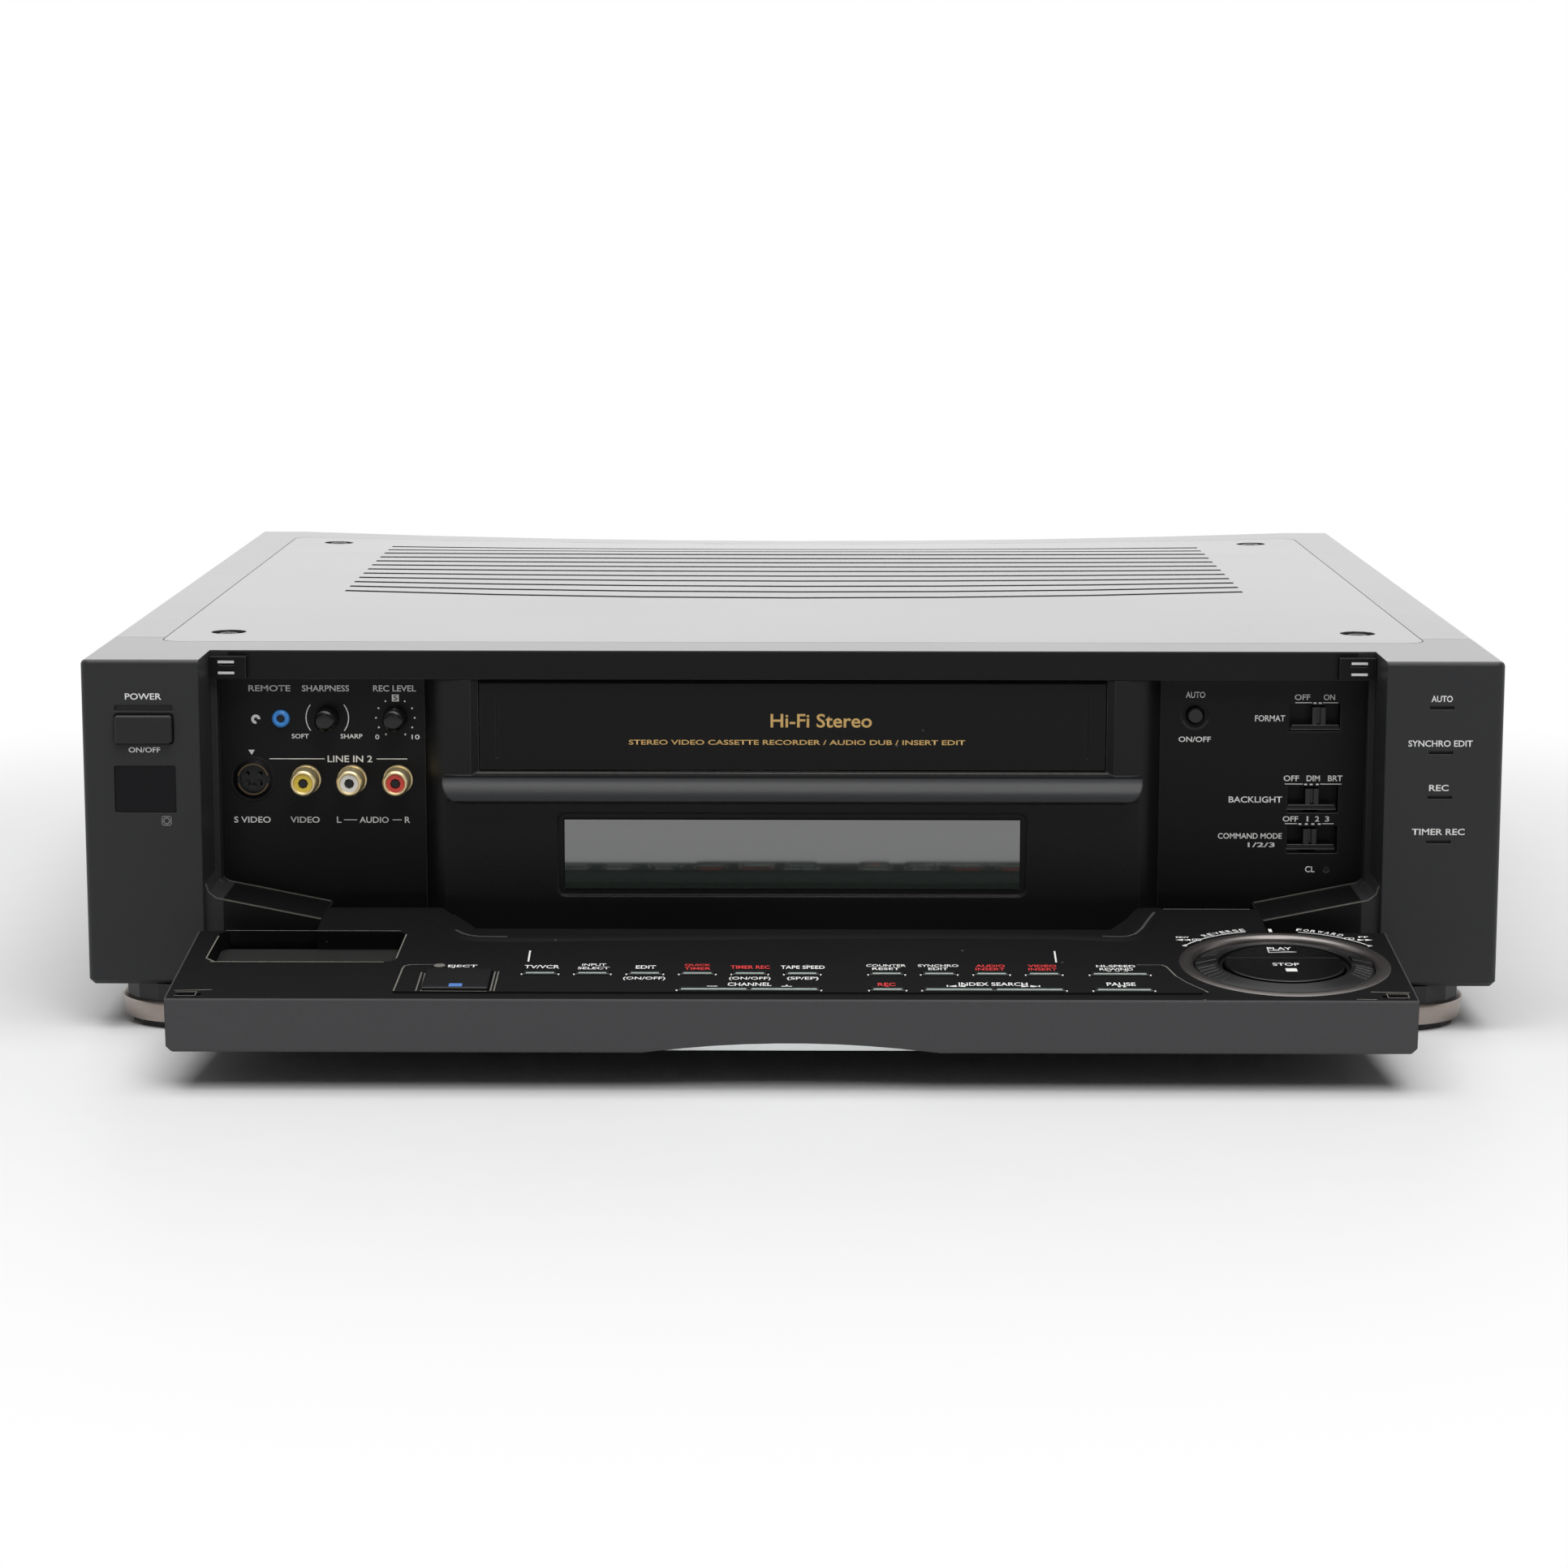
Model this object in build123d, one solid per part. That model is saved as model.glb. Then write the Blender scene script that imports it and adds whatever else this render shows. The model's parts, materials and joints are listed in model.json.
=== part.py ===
from build123d import *
from math import cos, pi, radians, sin
import os

# A full-size hi-fi video cassette recorder with its front control flap folded open.
# Millimetres. +X is the machine's right as seen from the front, +Y runs to the rear, +Z is up.
# The shapes are drawn with y = 0 on the front face, and are exported about the middle of the
# footprint of the machine with its flap open.

# ------------------------------------------------------------------ driving sizes
# Case
CASE_WIDTH = 430.0
CASE_DEPTH = 396.0
BODY_HEIGHT = 100.0
FOOT_HEIGHT = 14.0
BEZEL_DEPTH = 55.0
BEZEL_WALL = 2.8
SHEET = 1.6
CORNER_RADIUS = 2.5
EDGE_RADIUS = 1.6
BOTTOM_BEVEL = 1.5
PANEL_GAP = 0.3
SEAT_GAP = 0.15
RUNNING_GAP = 0.05
SLIDE_GAP = 0.25
SWING_GAP = 0.6

# Opening between the two front pillars
OPENING_WIDTH = 358.4
SIDE_PANEL = 65.5
STRIP_DEPTH = 23.8
STRIP_HEIGHT = 9.0
PANEL_FACE = 30.0
PANEL_SHEET = 2.2
RIM = 1.9
PANEL_LAP = 1.5
RAIL_HEIGHT = 4.5
SHELF_LENGTH = 35.8
SHELF_WALL_RISE = 31.0
SHELF_BEND_RISE = 28.3
SHELF_BEND_INSET = 1.1
SHELF_CORNER_RISE = 26.5
SHELF_CORNER_INSET = 3.4
SHELF_END_RISE = 20.0

# Control flap and its hinge
FLAP_THICKNESS = 16.0
FLAP_SKIN = 3.0
FLAP_SIDE_GAP = 0.7
FLAP_CHAMFER = 1.8
FLAP_OPEN_ANGLE = 95.4
HINGE_BACK = 7.3
HINGE_RISE = 13.0
HINGE_PIN_RADIUS = 2.4
HINGE_PIN_LENGTH = 7.0
LUG_INNER = 107.5
LUG_TAIL = 4.0
TROUGH_TOP = 18.0
TROUGH_NARROWING = 11.5
OUTER_CUT_TOP = 21.0
SCOOP_WIDTH = 87.0
SCOOP_DEPTH = 3.0
SCOOP_FADE = 15.0

# Dial on the flap
DIAL_X = 144.4
DIAL_RISE = 52.0
DIAL_RADIUS = 31.3
DIAL_OPENING_RADIUS = 26.5
DIAL_HEIGHT = 2.4
DIAL_SINK = 4.5
DIAL_SIDES = 40
DIAL_BEVEL = 2.2
DIAL_DISH = 1.2
SHUTTLE_GAP = 0.3
SHUTTLE_EDGE_DROP = 1.0
SHUTTLE_CROWN = 0.5
SHUTTLE_GRIP_TURN = 8.0
SHUTTLE_GRIP_HALF = 3.1
SHUTTLE_HUB_RADIUS = 19.2
KEY_SPLIT = 5.0
KEY_DISK_RADIUS = 17.8
ROD_SIDES = 16
SHUTTLE_TRAVEL = 75.0
KEY_TRAVEL = 1.0
KEY_PROUD = 0.9
ROW_PROUD = 0.5
KEY_BODY = 4.0

# Keys on the flap
KEY_PANEL_LOW = 53.0
KEY_PANEL_HIGH = 81.5
KEY_PANEL_PROUD = 0.6
KEY_WIDTH = 10.0
KEY_DEPTH = 3.2
KEY_PITCH = 15.2
ROW_ONE_FRONT = 65.9
ROW_TWO_FRONT = 80.8
LEFT_GROUP_X = -72.85
RIGHT_GROUP_X = 27.6
WIDE_KEY_WIDTH = 17.0
WIDE_KEY_X = 95.2
ROCKER_WIDTH = 40.7
CHANNEL_X = -12.1
INDEX_X = 58.1
ROCKER_TILT = 1.8
EJECT_WIDTH = 19.0
EJECT_DEPTH = 18.0
EJECT_X = -96.4
EJECT_FRONT = 80.4
POCKET_X = -144.0
POCKET_WIDTH = 56.0
POCKET_LOW = 20.8
POCKET_HIGH = 51.5
POCKET_DEPTH = 7.0

# Cassette door, slot and the centre block round them
SLOT_WIDTH = 194.0
SLOT_BOTTOM_RISE = 62.2
SLOT_FRAME = 2.4
DOOR_FRONT = 26.0
DOOR_THICKNESS = 2.4
DOOR_GAP = 0.3
DOOR_AXLE_RADIUS = 0.9
DOOR_AXLE_LENGTH = 1.8
DOOR_SWING = 88.0
BLOCK_FRONT = 24.0
BLOCK_SHOULDER = 11.0
BLOCK_BACK = 34.0
LIP_INSET = 5.7
LIP_PROUD = 6.5
LIP_HEIGHT = 8.0
DISPLAY_WIDTH = 145.6
DISPLAY_HEIGHT = 26.0
DISPLAY_RISE = 36.0
DISPLAY_FRAME = 2.0
DISPLAY_SINK = 1.6
DISPLAY_PANE = 2.0

# Front controls
PILLAR_MIDDLE_SHARE = 0.46
POWER_FLANGE = 1.5
POWER_RISE = 79.0
POWER_SHARE = 0.642
POWER_HEIGHT = 8.7
POWER_PROUD = 2.2
POWER_TRAVEL = 2.5
GROOVE_DEPTH = 0.8
WINDOW_RISE = 60.5
WINDOW_SHARE = 0.672
WINDOW_HEIGHT = 14.1
LAMP_TOP_RISE = 86.1
LAMP_PITCH = 13.7
LAMP_WIDTH = 7.3
LAMP_HEIGHT = 0.9
KNOB_RADIUS = 3.9
KNOB_LENGTH = 8.0
KNOB_SHAFT_RADIUS = 2.0
KNOB_RISE = 78.1
SHARPNESS_SHARE = 0.534
LEVEL_SHARE = 0.856
KNOB_TURN = 150.0
PICTURE_SHARE = 0.832
PICTURE_RISE = 79.3
PICTURE_RADIUS = 2.8
PICTURE_DISH = 4.3
PICTURE_TRAVEL_GAP = 0.25
SWITCH_SHARE = 0.267
SWITCH_WIDTH = 15.8
SWITCH_HEIGHT = 8.6
SWITCH_WELL = 5.0
SWITCH_RISES = (78.6, 53.0, 40.3)
SLIDER_OFFSETS = (1.4, -0.2, -0.6)
SLIDER_WIDTH = 4.2
SLIDER_HEIGHT = 6.4
SOCKET_RISE = 58.8
CONTROL_SOCKET_SHARE = 0.3145
CONTROL_SOCKET_RADIUS = 2.8
CONTROL_SOCKET_BORE = 1.25
CONTROL_SOCKET_RISE = 77.9
S_VIDEO_SHARE = 0.181
S_VIDEO_RADIUS = 5.1
RCA_SHARE = 0.4305
RCA_PITCH_SHARE = 0.2176
RCA_RADIUS = 4.2
RCA_LENGTH = 9.5
RCA_BORE = 1.6

# Top plate and its louvres
RAIL_WIDTH = 17.0
PLATE_FRONT = 44.6
PLATE_REAR_INSET = 22.0
PLATE_THICKNESS = 2.0
PLATE_CORNER = 6.0
LEDGE_WIDTH = 5.0
SAG = 3.5
SAG_LENGTH = 80.0
LOUVRE_COUNT = 12
LOUVRE_SPAN = 155.0
LOUVRE_REAR_INSET = 55.0
LOUVRE_HALF_LENGTH = 156.6
LOUVRE_SLOT = 4.2
LOUVRE_STEPS = 6
LOUVRE_BOW_FRONT = 20.3
LOUVRE_BOW_BACK = 4.0
SCREW_HEAD_RADIUS = 4.2
SCREW_DISH_RADIUS = 5.7
SCREW_DISH = 1.2
SCREW_SEAT = 0.01
SCREW_INSETS = (18.0, 19.0)
SCREW_FRONT_Y = 69.0
SCREW_REAR_INSET = 41.0
SIDE_SCREW_FRONT_Y = 90.0
SIDE_SCREW_REAR_INSET = 56.0
SIDE_SCREW_RISE = 22.0
SIDE_SCREW_PROUD = 1.2

# Feet
FOOT_INSET = 29.0
FOOT_FRONT_Y = 20.0
FOOT_REAR_INSET = 36.0
FOOT_RADIUS = 22.0
FOOT_CORE_RADIUS = 16.0
FOOT_PAD_HEIGHT = 2.0
FOOT_RING_HEIGHT = 6.5
FOOT_SIDES = 16
FOOT_CORE_SIDES = 8

# Chassis tray
TRAY_LIP = 12.0
VENT_ROWS = 9
VENT_FIRST = 110.0
VENT_PITCH = 16.0
VENT_LENGTH = 60.0
VENT_SLOT = 4.0
VENT_X = 155.0

# Deck mechanism
DECK_RISE = 20.0
DECK_SHEET = 2.0
DECK_FRONT = 52.0
DECK_BACK = 322.0
POST_RADIUS = 4.0
TAPE_WIDTH = 188.0
TAPE_DEPTH = 104.0
TAPE_HEIGHT = 25.0
BASKET_SHEET = 1.5
BASKET_FRONT = 58.0
BASKET_IN = 70.0
BASKET_DOWN = 24.0
GUIDE_PIN_RADIUS = 2.0
GUIDE_PIN_SPACING = 40.0
CARRIAGE_SHEET = 2.0
REEL_SPACING = 92.0
REEL_Y = 172.0
REEL_TABLE_RADIUS = 20.0
REEL_SHAFT_RADIUS = 2.0
REEL_TABLE_SHEET = 2.5
REEL_HUB_RADIUS = 8.0
REEL_SPINDLE_RADIUS = 5.0
REEL_SPINDLE_HEIGHT = 11.0
REEL_BLADE_REACH = 8.5
REEL_BLADE_SHEET = 1.6
REEL_BLADE_HEIGHT = 8.0
REEL_BEARING_HEIGHT = 5.0
DRUM_Y = 274.0
DRUM_RADIUS = 31.0
DRUM_TILT = 5.96
DRUM_HEIGHT = 22.0
DRUM_GAP = 0.3
DRUM_SIDES = 24
DRUM_BASE_HEIGHT = 20.0
DRUM_SHAFT_RADIUS = 3.0
CAPSTAN_X = 60.0
CAPSTAN_Y = 242.0
CAPSTAN_RADIUS = 2.0
CAPSTAN_LENGTH = 47.0
FLYWHEEL_RADIUS = 22.0
FLYWHEEL_SHEET = 5.0
PINCH_ARM_LENGTH = 24.0
PINCH_ROLLER_RADIUS = 7.0
PINCH_SWING = 25.0
PINCH_POST_RADIUS = 2.0
PINCH_PIN_RADIUS = 1.5
PINCH_ROLLER_HEIGHT = 16.0
REEL_HOLE_RADIUS = 14.0

# Rear
REAR_PANEL_INSET = 9.0
JACK_PITCH = 16.0
JACK_COLUMNS = 4
JACK_RISE = 24.0
REAR_SLOTS = 12
REAR_SLOT_PITCH = 7.0
REAR_SLOT_WIDTH = 3.0
REAR_SLOT_DROP = 17.0
REAR_SLOT_HEIGHT = 25.0
REAR_SLOT_SHARE = -0.279
INLET_WIDTH = 17.0
INLET_HEIGHT = 9.6
INLET_DEPTH = 14.0
INLET_WALL = 1.4
INLET_CORNER = 3.0
INLET_INSET = 29.0
INLET_RISE = 16.0
JACK_SHARE = 0.279
JACK_FLANGE = 2.0
JACK_DEPTH = 8.0

# Boards
BOARD_RISE = 6.0
BOARD_CLEARANCE = 8.0
BOARD_WALL_GAP = 5.0
BOARD_FRONT = 70.0
SUPPLY_FRONT = 180.0
BOARD_BACK_INSET = 22.0
BOARD_FOOT_INSET = 6.0
BOARD_FOOT_RADIUS = 3.0
TUNER_INSET = 12.0
TUNER_WIDTH = 50.0
TUNER_DEPTH = 60.0
TUNER_HEIGHT = 26.0
SINK_INSET = 14.0
SINK_WIDTH = 20.0
SINK_FRONT = 200.0
SINK_HEIGHT = 24.0
SINK_PITCH = 8.0
SINK_FINS = 5
CHIP_FRONT = 100.0
CHIP_PITCH = 18.0
CHIP_WIDTH = 26.0
CHIP_DEPTH = 9.0
CHIP_HEIGHT = 3.0
CAN_RADIUS = 5.0
CAN_HEIGHT = 14.0
CORE_WIDTH = 60.0
CORE_FRONT = 270.0
CORE_DEPTH = 52.0
CORE_HEIGHT = 50.0
COIL_WIDTH = 36.0
COIL_STANDOUT = 10.0
COIL_CLEAR = 9.0
RESERVOIR_RADIUS = 9.0
RESERVOIR_HEIGHT = 32.0
RESERVOIR_PITCH = 24.0

# ------------------------------------------------------------------ derived sizes
HALF = CASE_WIDTH / 2
BOTTOM_Z = FOOT_HEIGHT
TOP_Z = FOOT_HEIGHT + BODY_HEIGHT
OPENING_HALF = OPENING_WIDTH / 2
PLATE_BACK = CASE_DEPTH - PLATE_REAR_INSET
SAG_START = CASE_DEPTH - SAG_LENGTH
LOUVRE_LAST = CASE_DEPTH - LOUVRE_REAR_INSET
LOUVRE_FIRST = LOUVRE_LAST - LOUVRE_SPAN
SCREW_REAR_Y = CASE_DEPTH - SCREW_REAR_INSET
SIDE_SCREW_REAR_Y = CASE_DEPTH - SIDE_SCREW_REAR_INSET
FOOT_REAR_Y = CASE_DEPTH - FOOT_REAR_INSET
PILLAR_IN = OPENING_HALF + BEZEL_WALL + POWER_FLANGE
PILLAR_CLEAR = HALF - BEZEL_WALL - POWER_FLANGE - PILLAR_IN
PILLAR_MIDDLE = PILLAR_IN + PILLAR_MIDDLE_SHARE * PILLAR_CLEAR
POWER_X = -PILLAR_MIDDLE
POWER_WIDTH = POWER_SHARE * PILLAR_CLEAR
WINDOW_X = -PILLAR_MIDDLE
WINDOW_WIDTH = WINDOW_SHARE * PILLAR_CLEAR
LAMP_X = PILLAR_MIDDLE
BLOCK_WIDTH = OPENING_WIDTH - 2 * SIDE_PANEL
LIP_WIDTH = BLOCK_WIDTH - 2 * LIP_INSET
SHARPNESS_X = SHARPNESS_SHARE * SIDE_PANEL - OPENING_HALF
LEVEL_X = LEVEL_SHARE * SIDE_PANEL - OPENING_HALF
CONTROL_SOCKET_X = CONTROL_SOCKET_SHARE * SIDE_PANEL - OPENING_HALF
S_VIDEO_X = S_VIDEO_SHARE * SIDE_PANEL - OPENING_HALF
RCA_X = RCA_SHARE * SIDE_PANEL - OPENING_HALF
RCA_PITCH = RCA_PITCH_SHARE * SIDE_PANEL
PICTURE_X = OPENING_HALF - PICTURE_SHARE * SIDE_PANEL
SWITCH_X = OPENING_HALF - SWITCH_SHARE * SIDE_PANEL
FOOT_X = HALF - FOOT_INSET
INLET_X = HALF - INLET_INSET
REAR_SLOT_X = REAR_SLOT_SHARE * HALF
JACK_X = JACK_SHARE * HALF
BOARD_BACK = CASE_DEPTH - BOARD_BACK_INSET
STRIP_BOTTOM = TOP_Z - STRIP_HEIGHT
RAIL_TOP = BOTTOM_Z + RAIL_HEIGHT
SHELF_END = OPENING_HALF - SHELF_LENGTH
HINGE_Z = BOTTOM_Z + HINGE_RISE
FLAP_REACH = TOP_Z - HINGE_Z
FLAP_HALF = OPENING_HALF - FLAP_SIDE_GAP
LUG_OUTER = SHELF_END - PANEL_GAP
SLOT_BOTTOM = BOTTOM_Z + SLOT_BOTTOM_RISE
SLOT_HALF = SLOT_WIDTH / 2
DOOR_AXIS_Y = DOOR_FRONT + DOOR_THICKNESS / 2
DOOR_AXIS_Z = STRIP_BOTTOM - DOOR_GAP - DOOR_THICKNESS / 2
PLATE_HALF = HALF - RAIL_WIDTH
DECK_Z = BOTTOM_Z + DECK_RISE
DECK_TOP = DECK_Z + DECK_SHEET
CHASSIS_TOP = BOTTOM_Z + SHEET
REAR_PANEL_Y = CASE_DEPTH - REAR_PANEL_INSET
BASKET_FLOOR = SLOT_BOTTOM - DOOR_GAP - BASKET_SHEET
BASKET_HALF = TAPE_WIDTH / 2 + BASKET_SHEET + 2 * SLIDE_GAP
BASKET_BACK = BASKET_FRONT + TAPE_DEPTH
CARRIAGE_INNER = BASKET_HALF + SLIDE_GAP
BRACKET_INNER = CARRIAGE_INNER + CARRIAGE_SHEET + SLIDE_GAP

# Middle of the footprint of the machine with its flap open.
FLAP_FORWARD = (FLAP_REACH * sin(radians(FLAP_OPEN_ANGLE)) - HINGE_BACK
                - (FLAP_THICKNESS - HINGE_BACK) * cos(radians(FLAP_OPEN_ANGLE)))
CENTRE_Y = (CASE_DEPTH - FLAP_FORWARD) / 2

HINGE_AXIS = Axis((0, HINGE_BACK, HINGE_Z), (1, 0, 0))
PARTS = {}


# ------------------------------------------------------------------ helpers
def box(x, y, z):
    """A block between two limits on each axis."""
    size = (x[1] - x[0], y[1] - y[0], z[1] - z[0])
    middle = ((x[0] + x[1]) / 2, (y[0] + y[1]) / 2, (z[0] + z[1]) / 2)
    return Pos(*middle) * Box(*size)


def prism_x(outline, x):
    """A (y, z) outline or face drawn along X between two limits."""
    face = outline if isinstance(outline, (Face, Sketch)) else Polygon(*outline, align=None)
    plane = Plane((x[0], 0, 0), x_dir=(0, 1, 0), z_dir=(1, 0, 0))
    return extrude(plane * face, x[1] - x[0], dir=(1, 0, 0))


def prism_y(outline, y):
    """An (x, z) outline or face drawn along Y between two limits."""
    face = outline if isinstance(outline, (Face, Sketch)) else Polygon(*outline, align=None)
    plane = Plane((0, y[0], 0), x_dir=(1, 0, 0), z_dir=(0, -1, 0))
    return extrude(plane * face, y[1] - y[0], dir=(0, 1, 0))


def prism_z(outline, z):
    """An (x, y) outline or face drawn along Z between two limits."""
    face = outline if isinstance(outline, (Face, Sketch)) else Polygon(*outline, align=None)
    return extrude(Pos(0, 0, z[0]) * face, z[1] - z[0], dir=(0, 0, 1))


def rod_x(radius, x, y, z):
    """A pin along X, or the cut for its bore."""
    return prism_x(Pos(y, z) * RegularPolygon(radius, ROD_SIDES), x)


def rod_y(radius, x, y, z):
    """A pin along Y, or the cut for its bore."""
    return prism_y(Pos(x, z) * RegularPolygon(radius, ROD_SIDES), y)


def rod_z(radius, x, y, z):
    """A pin along Z, or the cut for its bore."""
    return prism_z(Pos(x, y) * RegularPolygon(radius, ROD_SIDES), z)


def peg_x(radius, x, y, z, sides=8):
    """A many-sided peg along X, for pins that only slide."""
    return prism_x(Pos(y, z) * RegularPolygon(radius, sides), x)


def peg_y(radius, x, y, z, sides=12):
    """A many-sided peg along Y, for round details that nothing turns on."""
    return prism_y(Pos(x, z) * RegularPolygon(radius, sides), y)


def peg_z(radius, x, y, z, sides=12):
    """A many-sided peg along Z."""
    return prism_z(Pos(x, y) * RegularPolygon(radius, sides), z)


def cut_corners(width, height, corner):
    """Rectangle with its corners cut off."""
    x = width / 2
    z = height / 2
    return Polygon((-x + corner, -z), (x - corner, -z), (x, -z + corner), (x, z - corner), (x - corner, z),
                   (-x + corner, z), (-x, z - corner), (-x, -z + corner), align=None)


def mirrored(shape):
    """The shape and its mirror image across the machine's middle."""
    return shape + mirror(shape, Plane.YZ)


def inner_plane(x, rise):
    """Plane on the closed flap's inner face; its local y runs towards the hinge."""
    return Plane((x, FLAP_THICKNESS, HINGE_Z + rise), x_dir=(1, 0, 0), z_dir=(0, 1, 0))


def opened(shape):
    """A flap piece turned from the closed flap to the open one."""
    return shape.rotate(HINGE_AXIS, FLAP_OPEN_ANGLE)


def keep(name, shape):
    """Export one node about the middle of the footprint."""
    PARTS[name] = Pos(0, -CENTRE_Y, 0) * shape


# ------------------------------------------------------------------ case
def shelf_line(inset):
    """Lower outline of the opening, right half: down the wall and along the slanting shelf."""
    return [
        (OPENING_HALF - inset, BOTTOM_Z + SHELF_WALL_RISE),
        (OPENING_HALF - max(inset, SHELF_BEND_INSET), BOTTOM_Z + SHELF_BEND_RISE),
        (OPENING_HALF - SHELF_CORNER_INSET, BOTTOM_Z + SHELF_CORNER_RISE),
        (SHELF_END, BOTTOM_Z + SHELF_END_RISE),
        (SHELF_END, RAIL_TOP),
    ]


def opening_cut(inset, top, y):
    """The opening between the pillars, down to the shelves and the bottom rail."""
    right = [(OPENING_HALF - inset, top)] + shelf_line(inset)
    left = [(-x, z) for x, z in reversed(right)]
    return prism_y(right + left, y)


def under_shelf_cut():
    """Space under and before the right shelf in which the flap's skin turns."""
    nose = HINGE_BACK - FLAP_SKIN - SWING_GAP
    back = 2 * HINGE_BACK + 1.0
    high = BOTTOM_Z + SHELF_WALL_RISE + 1
    edge = Line((-1, high), (-1, RAIL_TOP))
    edge += Line((-1, RAIL_TOP), (back, RAIL_TOP))
    edge += Line((back, RAIL_TOP), (back, HINGE_Z - nose))
    edge += Line((back, HINGE_Z - nose), (HINGE_BACK, HINGE_Z - nose))
    edge += RadiusArc((HINGE_BACK, HINGE_Z - nose), (HINGE_BACK - nose, HINGE_Z), nose)
    edge += Line((HINGE_BACK - nose, HINGE_Z), (HINGE_BACK - nose, high))
    edge += Line((HINGE_BACK - nose, high), (-1, high))
    return prism_x(make_face(edge), (SHELF_END - 1, OPENING_HALF))


def front_bezel():
    shell = box((-HALF, HALF), (0, BEZEL_DEPTH), (BOTTOM_Z, TOP_Z))
    uprights = shell.edges().filter_by(Axis.Z).group_by(Axis.Y)[0]
    shell = fillet(uprights, CORNER_RADIUS)
    front_top = shell.edges().group_by(Axis.Z)[-1].sort_by(Axis.Y)[:-1]
    shell = fillet(front_top.filter_by(lambda e: e.center().Y < BEZEL_DEPTH - 1), EDGE_RADIUS)
    low = shell.edges().group_by(Axis.Z)[0].filter_by(lambda e: e.center().Y < BEZEL_DEPTH - 1)
    shell = chamfer(low, BOTTOM_BEVEL)
    shell -= box((-HALF + BEZEL_WALL, HALF - BEZEL_WALL), (BEZEL_WALL, BEZEL_DEPTH + 1),
                 (BOTTOM_Z + BEZEL_WALL, TOP_Z - BEZEL_WALL))

    liner_half = OPENING_HALF + BEZEL_WALL
    liner = box((-liner_half, liner_half), (CORNER_RADIUS, PANEL_FACE),
                (BOTTOM_Z + BOTTOM_BEVEL, TOP_Z - EDGE_RADIUS))
    body = shell + liner
    body -= opening_cut(0, TOP_Z + 1, (-1, STRIP_DEPTH))
    body -= opening_cut(RIM, STRIP_BOTTOM, (STRIP_DEPTH - 1, PANEL_FACE + 1))
    body -= mirrored(under_shelf_cut())

    # Bores in the shelves' ends for the flap's hinge pins.
    bore = (SHELF_END - 1, SHELF_END + HINGE_PIN_LENGTH)
    body -= mirrored(rod_x(HINGE_PIN_RADIUS + RUNNING_GAP, bore, HINGE_BACK, HINGE_Z))

    # Seat for the top plate: its outline is cut out, and a ledge below carries its front edge.
    ledge_top = TOP_Z - PLATE_THICKNESS
    body += box((-PLATE_HALF, PLATE_HALF), (PLATE_FRONT - LEDGE_WIDTH, PLATE_FRONT + LEDGE_WIDTH),
                (ledge_top - BEZEL_WALL, ledge_top))
    body -= plate_seat(0)
    body -= box((-PLATE_HALF + LEDGE_WIDTH, PLATE_HALF - LEDGE_WIDTH),
                (PLATE_FRONT + LEDGE_WIDTH, BEZEL_DEPTH + 1), (ledge_top - 2 * BEZEL_WALL, TOP_Z + 1))

    # Left pillar: slot of the power button, groove above it, pocket of the sensor window.
    power_z = BOTTOM_Z + POWER_RISE
    power_hole = cut_corners(POWER_WIDTH + 2 * SLIDE_GAP, POWER_HEIGHT + 2 * SLIDE_GAP, 0.6)
    body -= prism_y(Pos(POWER_X, power_z) * power_hole, (-1, BEZEL_WALL + 1))
    groove_z = power_z + POWER_HEIGHT / 2 + 2.0
    body -= box((POWER_X - POWER_WIDTH / 2, POWER_X + POWER_WIDTH / 2), (-1, GROOVE_DEPTH),
                (groove_z - GROOVE_DEPTH, groove_z + GROOVE_DEPTH))
    window_z = BOTTOM_Z + WINDOW_RISE
    window_hole = cut_corners(WINDOW_WIDTH + 2 * SEAT_GAP, WINDOW_HEIGHT + 2 * SEAT_GAP, 0.5)
    body -= prism_y(Pos(WINDOW_X, window_z) * window_hole, (-1, BEZEL_WALL + 1))

    # Right pillar: four narrow lamp slits.
    for index in range(4):
        lamp_z = BOTTOM_Z + LAMP_TOP_RISE - index * LAMP_PITCH
        body -= box((LAMP_X - LAMP_WIDTH / 2, LAMP_X + LAMP_WIDTH / 2), (-1, 1.0),
                    (lamp_z - LAMP_HEIGHT / 2, lamp_z + LAMP_HEIGHT / 2))
    return body


def plate_outline(gap, z):
    """Upright prism over the top plate's outline, shrunk by a gap all round."""
    width = 2 * (PLATE_HALF - gap)
    depth = PLATE_BACK - PLATE_FRONT - 2 * gap
    face = Pos(0, (PLATE_FRONT + PLATE_BACK) / 2) * RectangleRounded(width, depth, PLATE_CORNER)
    return prism_z(face, z)


def sag_line(y, z):
    """Line across the top plate at one depth; towards the rear its middle hangs lower."""
    drop = SAG * max(0.0, y - SAG_START) / (CASE_DEPTH - SAG_START)
    ends = ((-PLATE_HALF, z), (PLATE_HALF, z))
    if drop == 0:
        return Line(*ends)
    return ThreePointArc(ends[0], (0, z - drop), ends[1])


def sag_section(y, sagging_z, other_z, other_sags):
    """Upright section of the sagging top at one depth."""
    edge = sag_line(y, sagging_z)
    edge += sag_line(y, other_z) if other_sags else Line((-PLATE_HALF, other_z), (PLATE_HALF, other_z))
    edge += Line((PLATE_HALF, sagging_z), (PLATE_HALF, other_z))
    edge += Line((-PLATE_HALF, sagging_z), (-PLATE_HALF, other_z))
    return Plane((0, y, 0), x_dir=(1, 0, 0), z_dir=(0, -1, 0)) * make_face(edge)


def sag_body(sagging_z, other_z, other_sags):
    """Sagging part of the top, from where the sag starts to the rear edge."""
    sections = [sag_section(y, sagging_z, other_z, other_sags) for y in (SAG_START, CASE_DEPTH)]
    return loft(sections, ruled=True)


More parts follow.
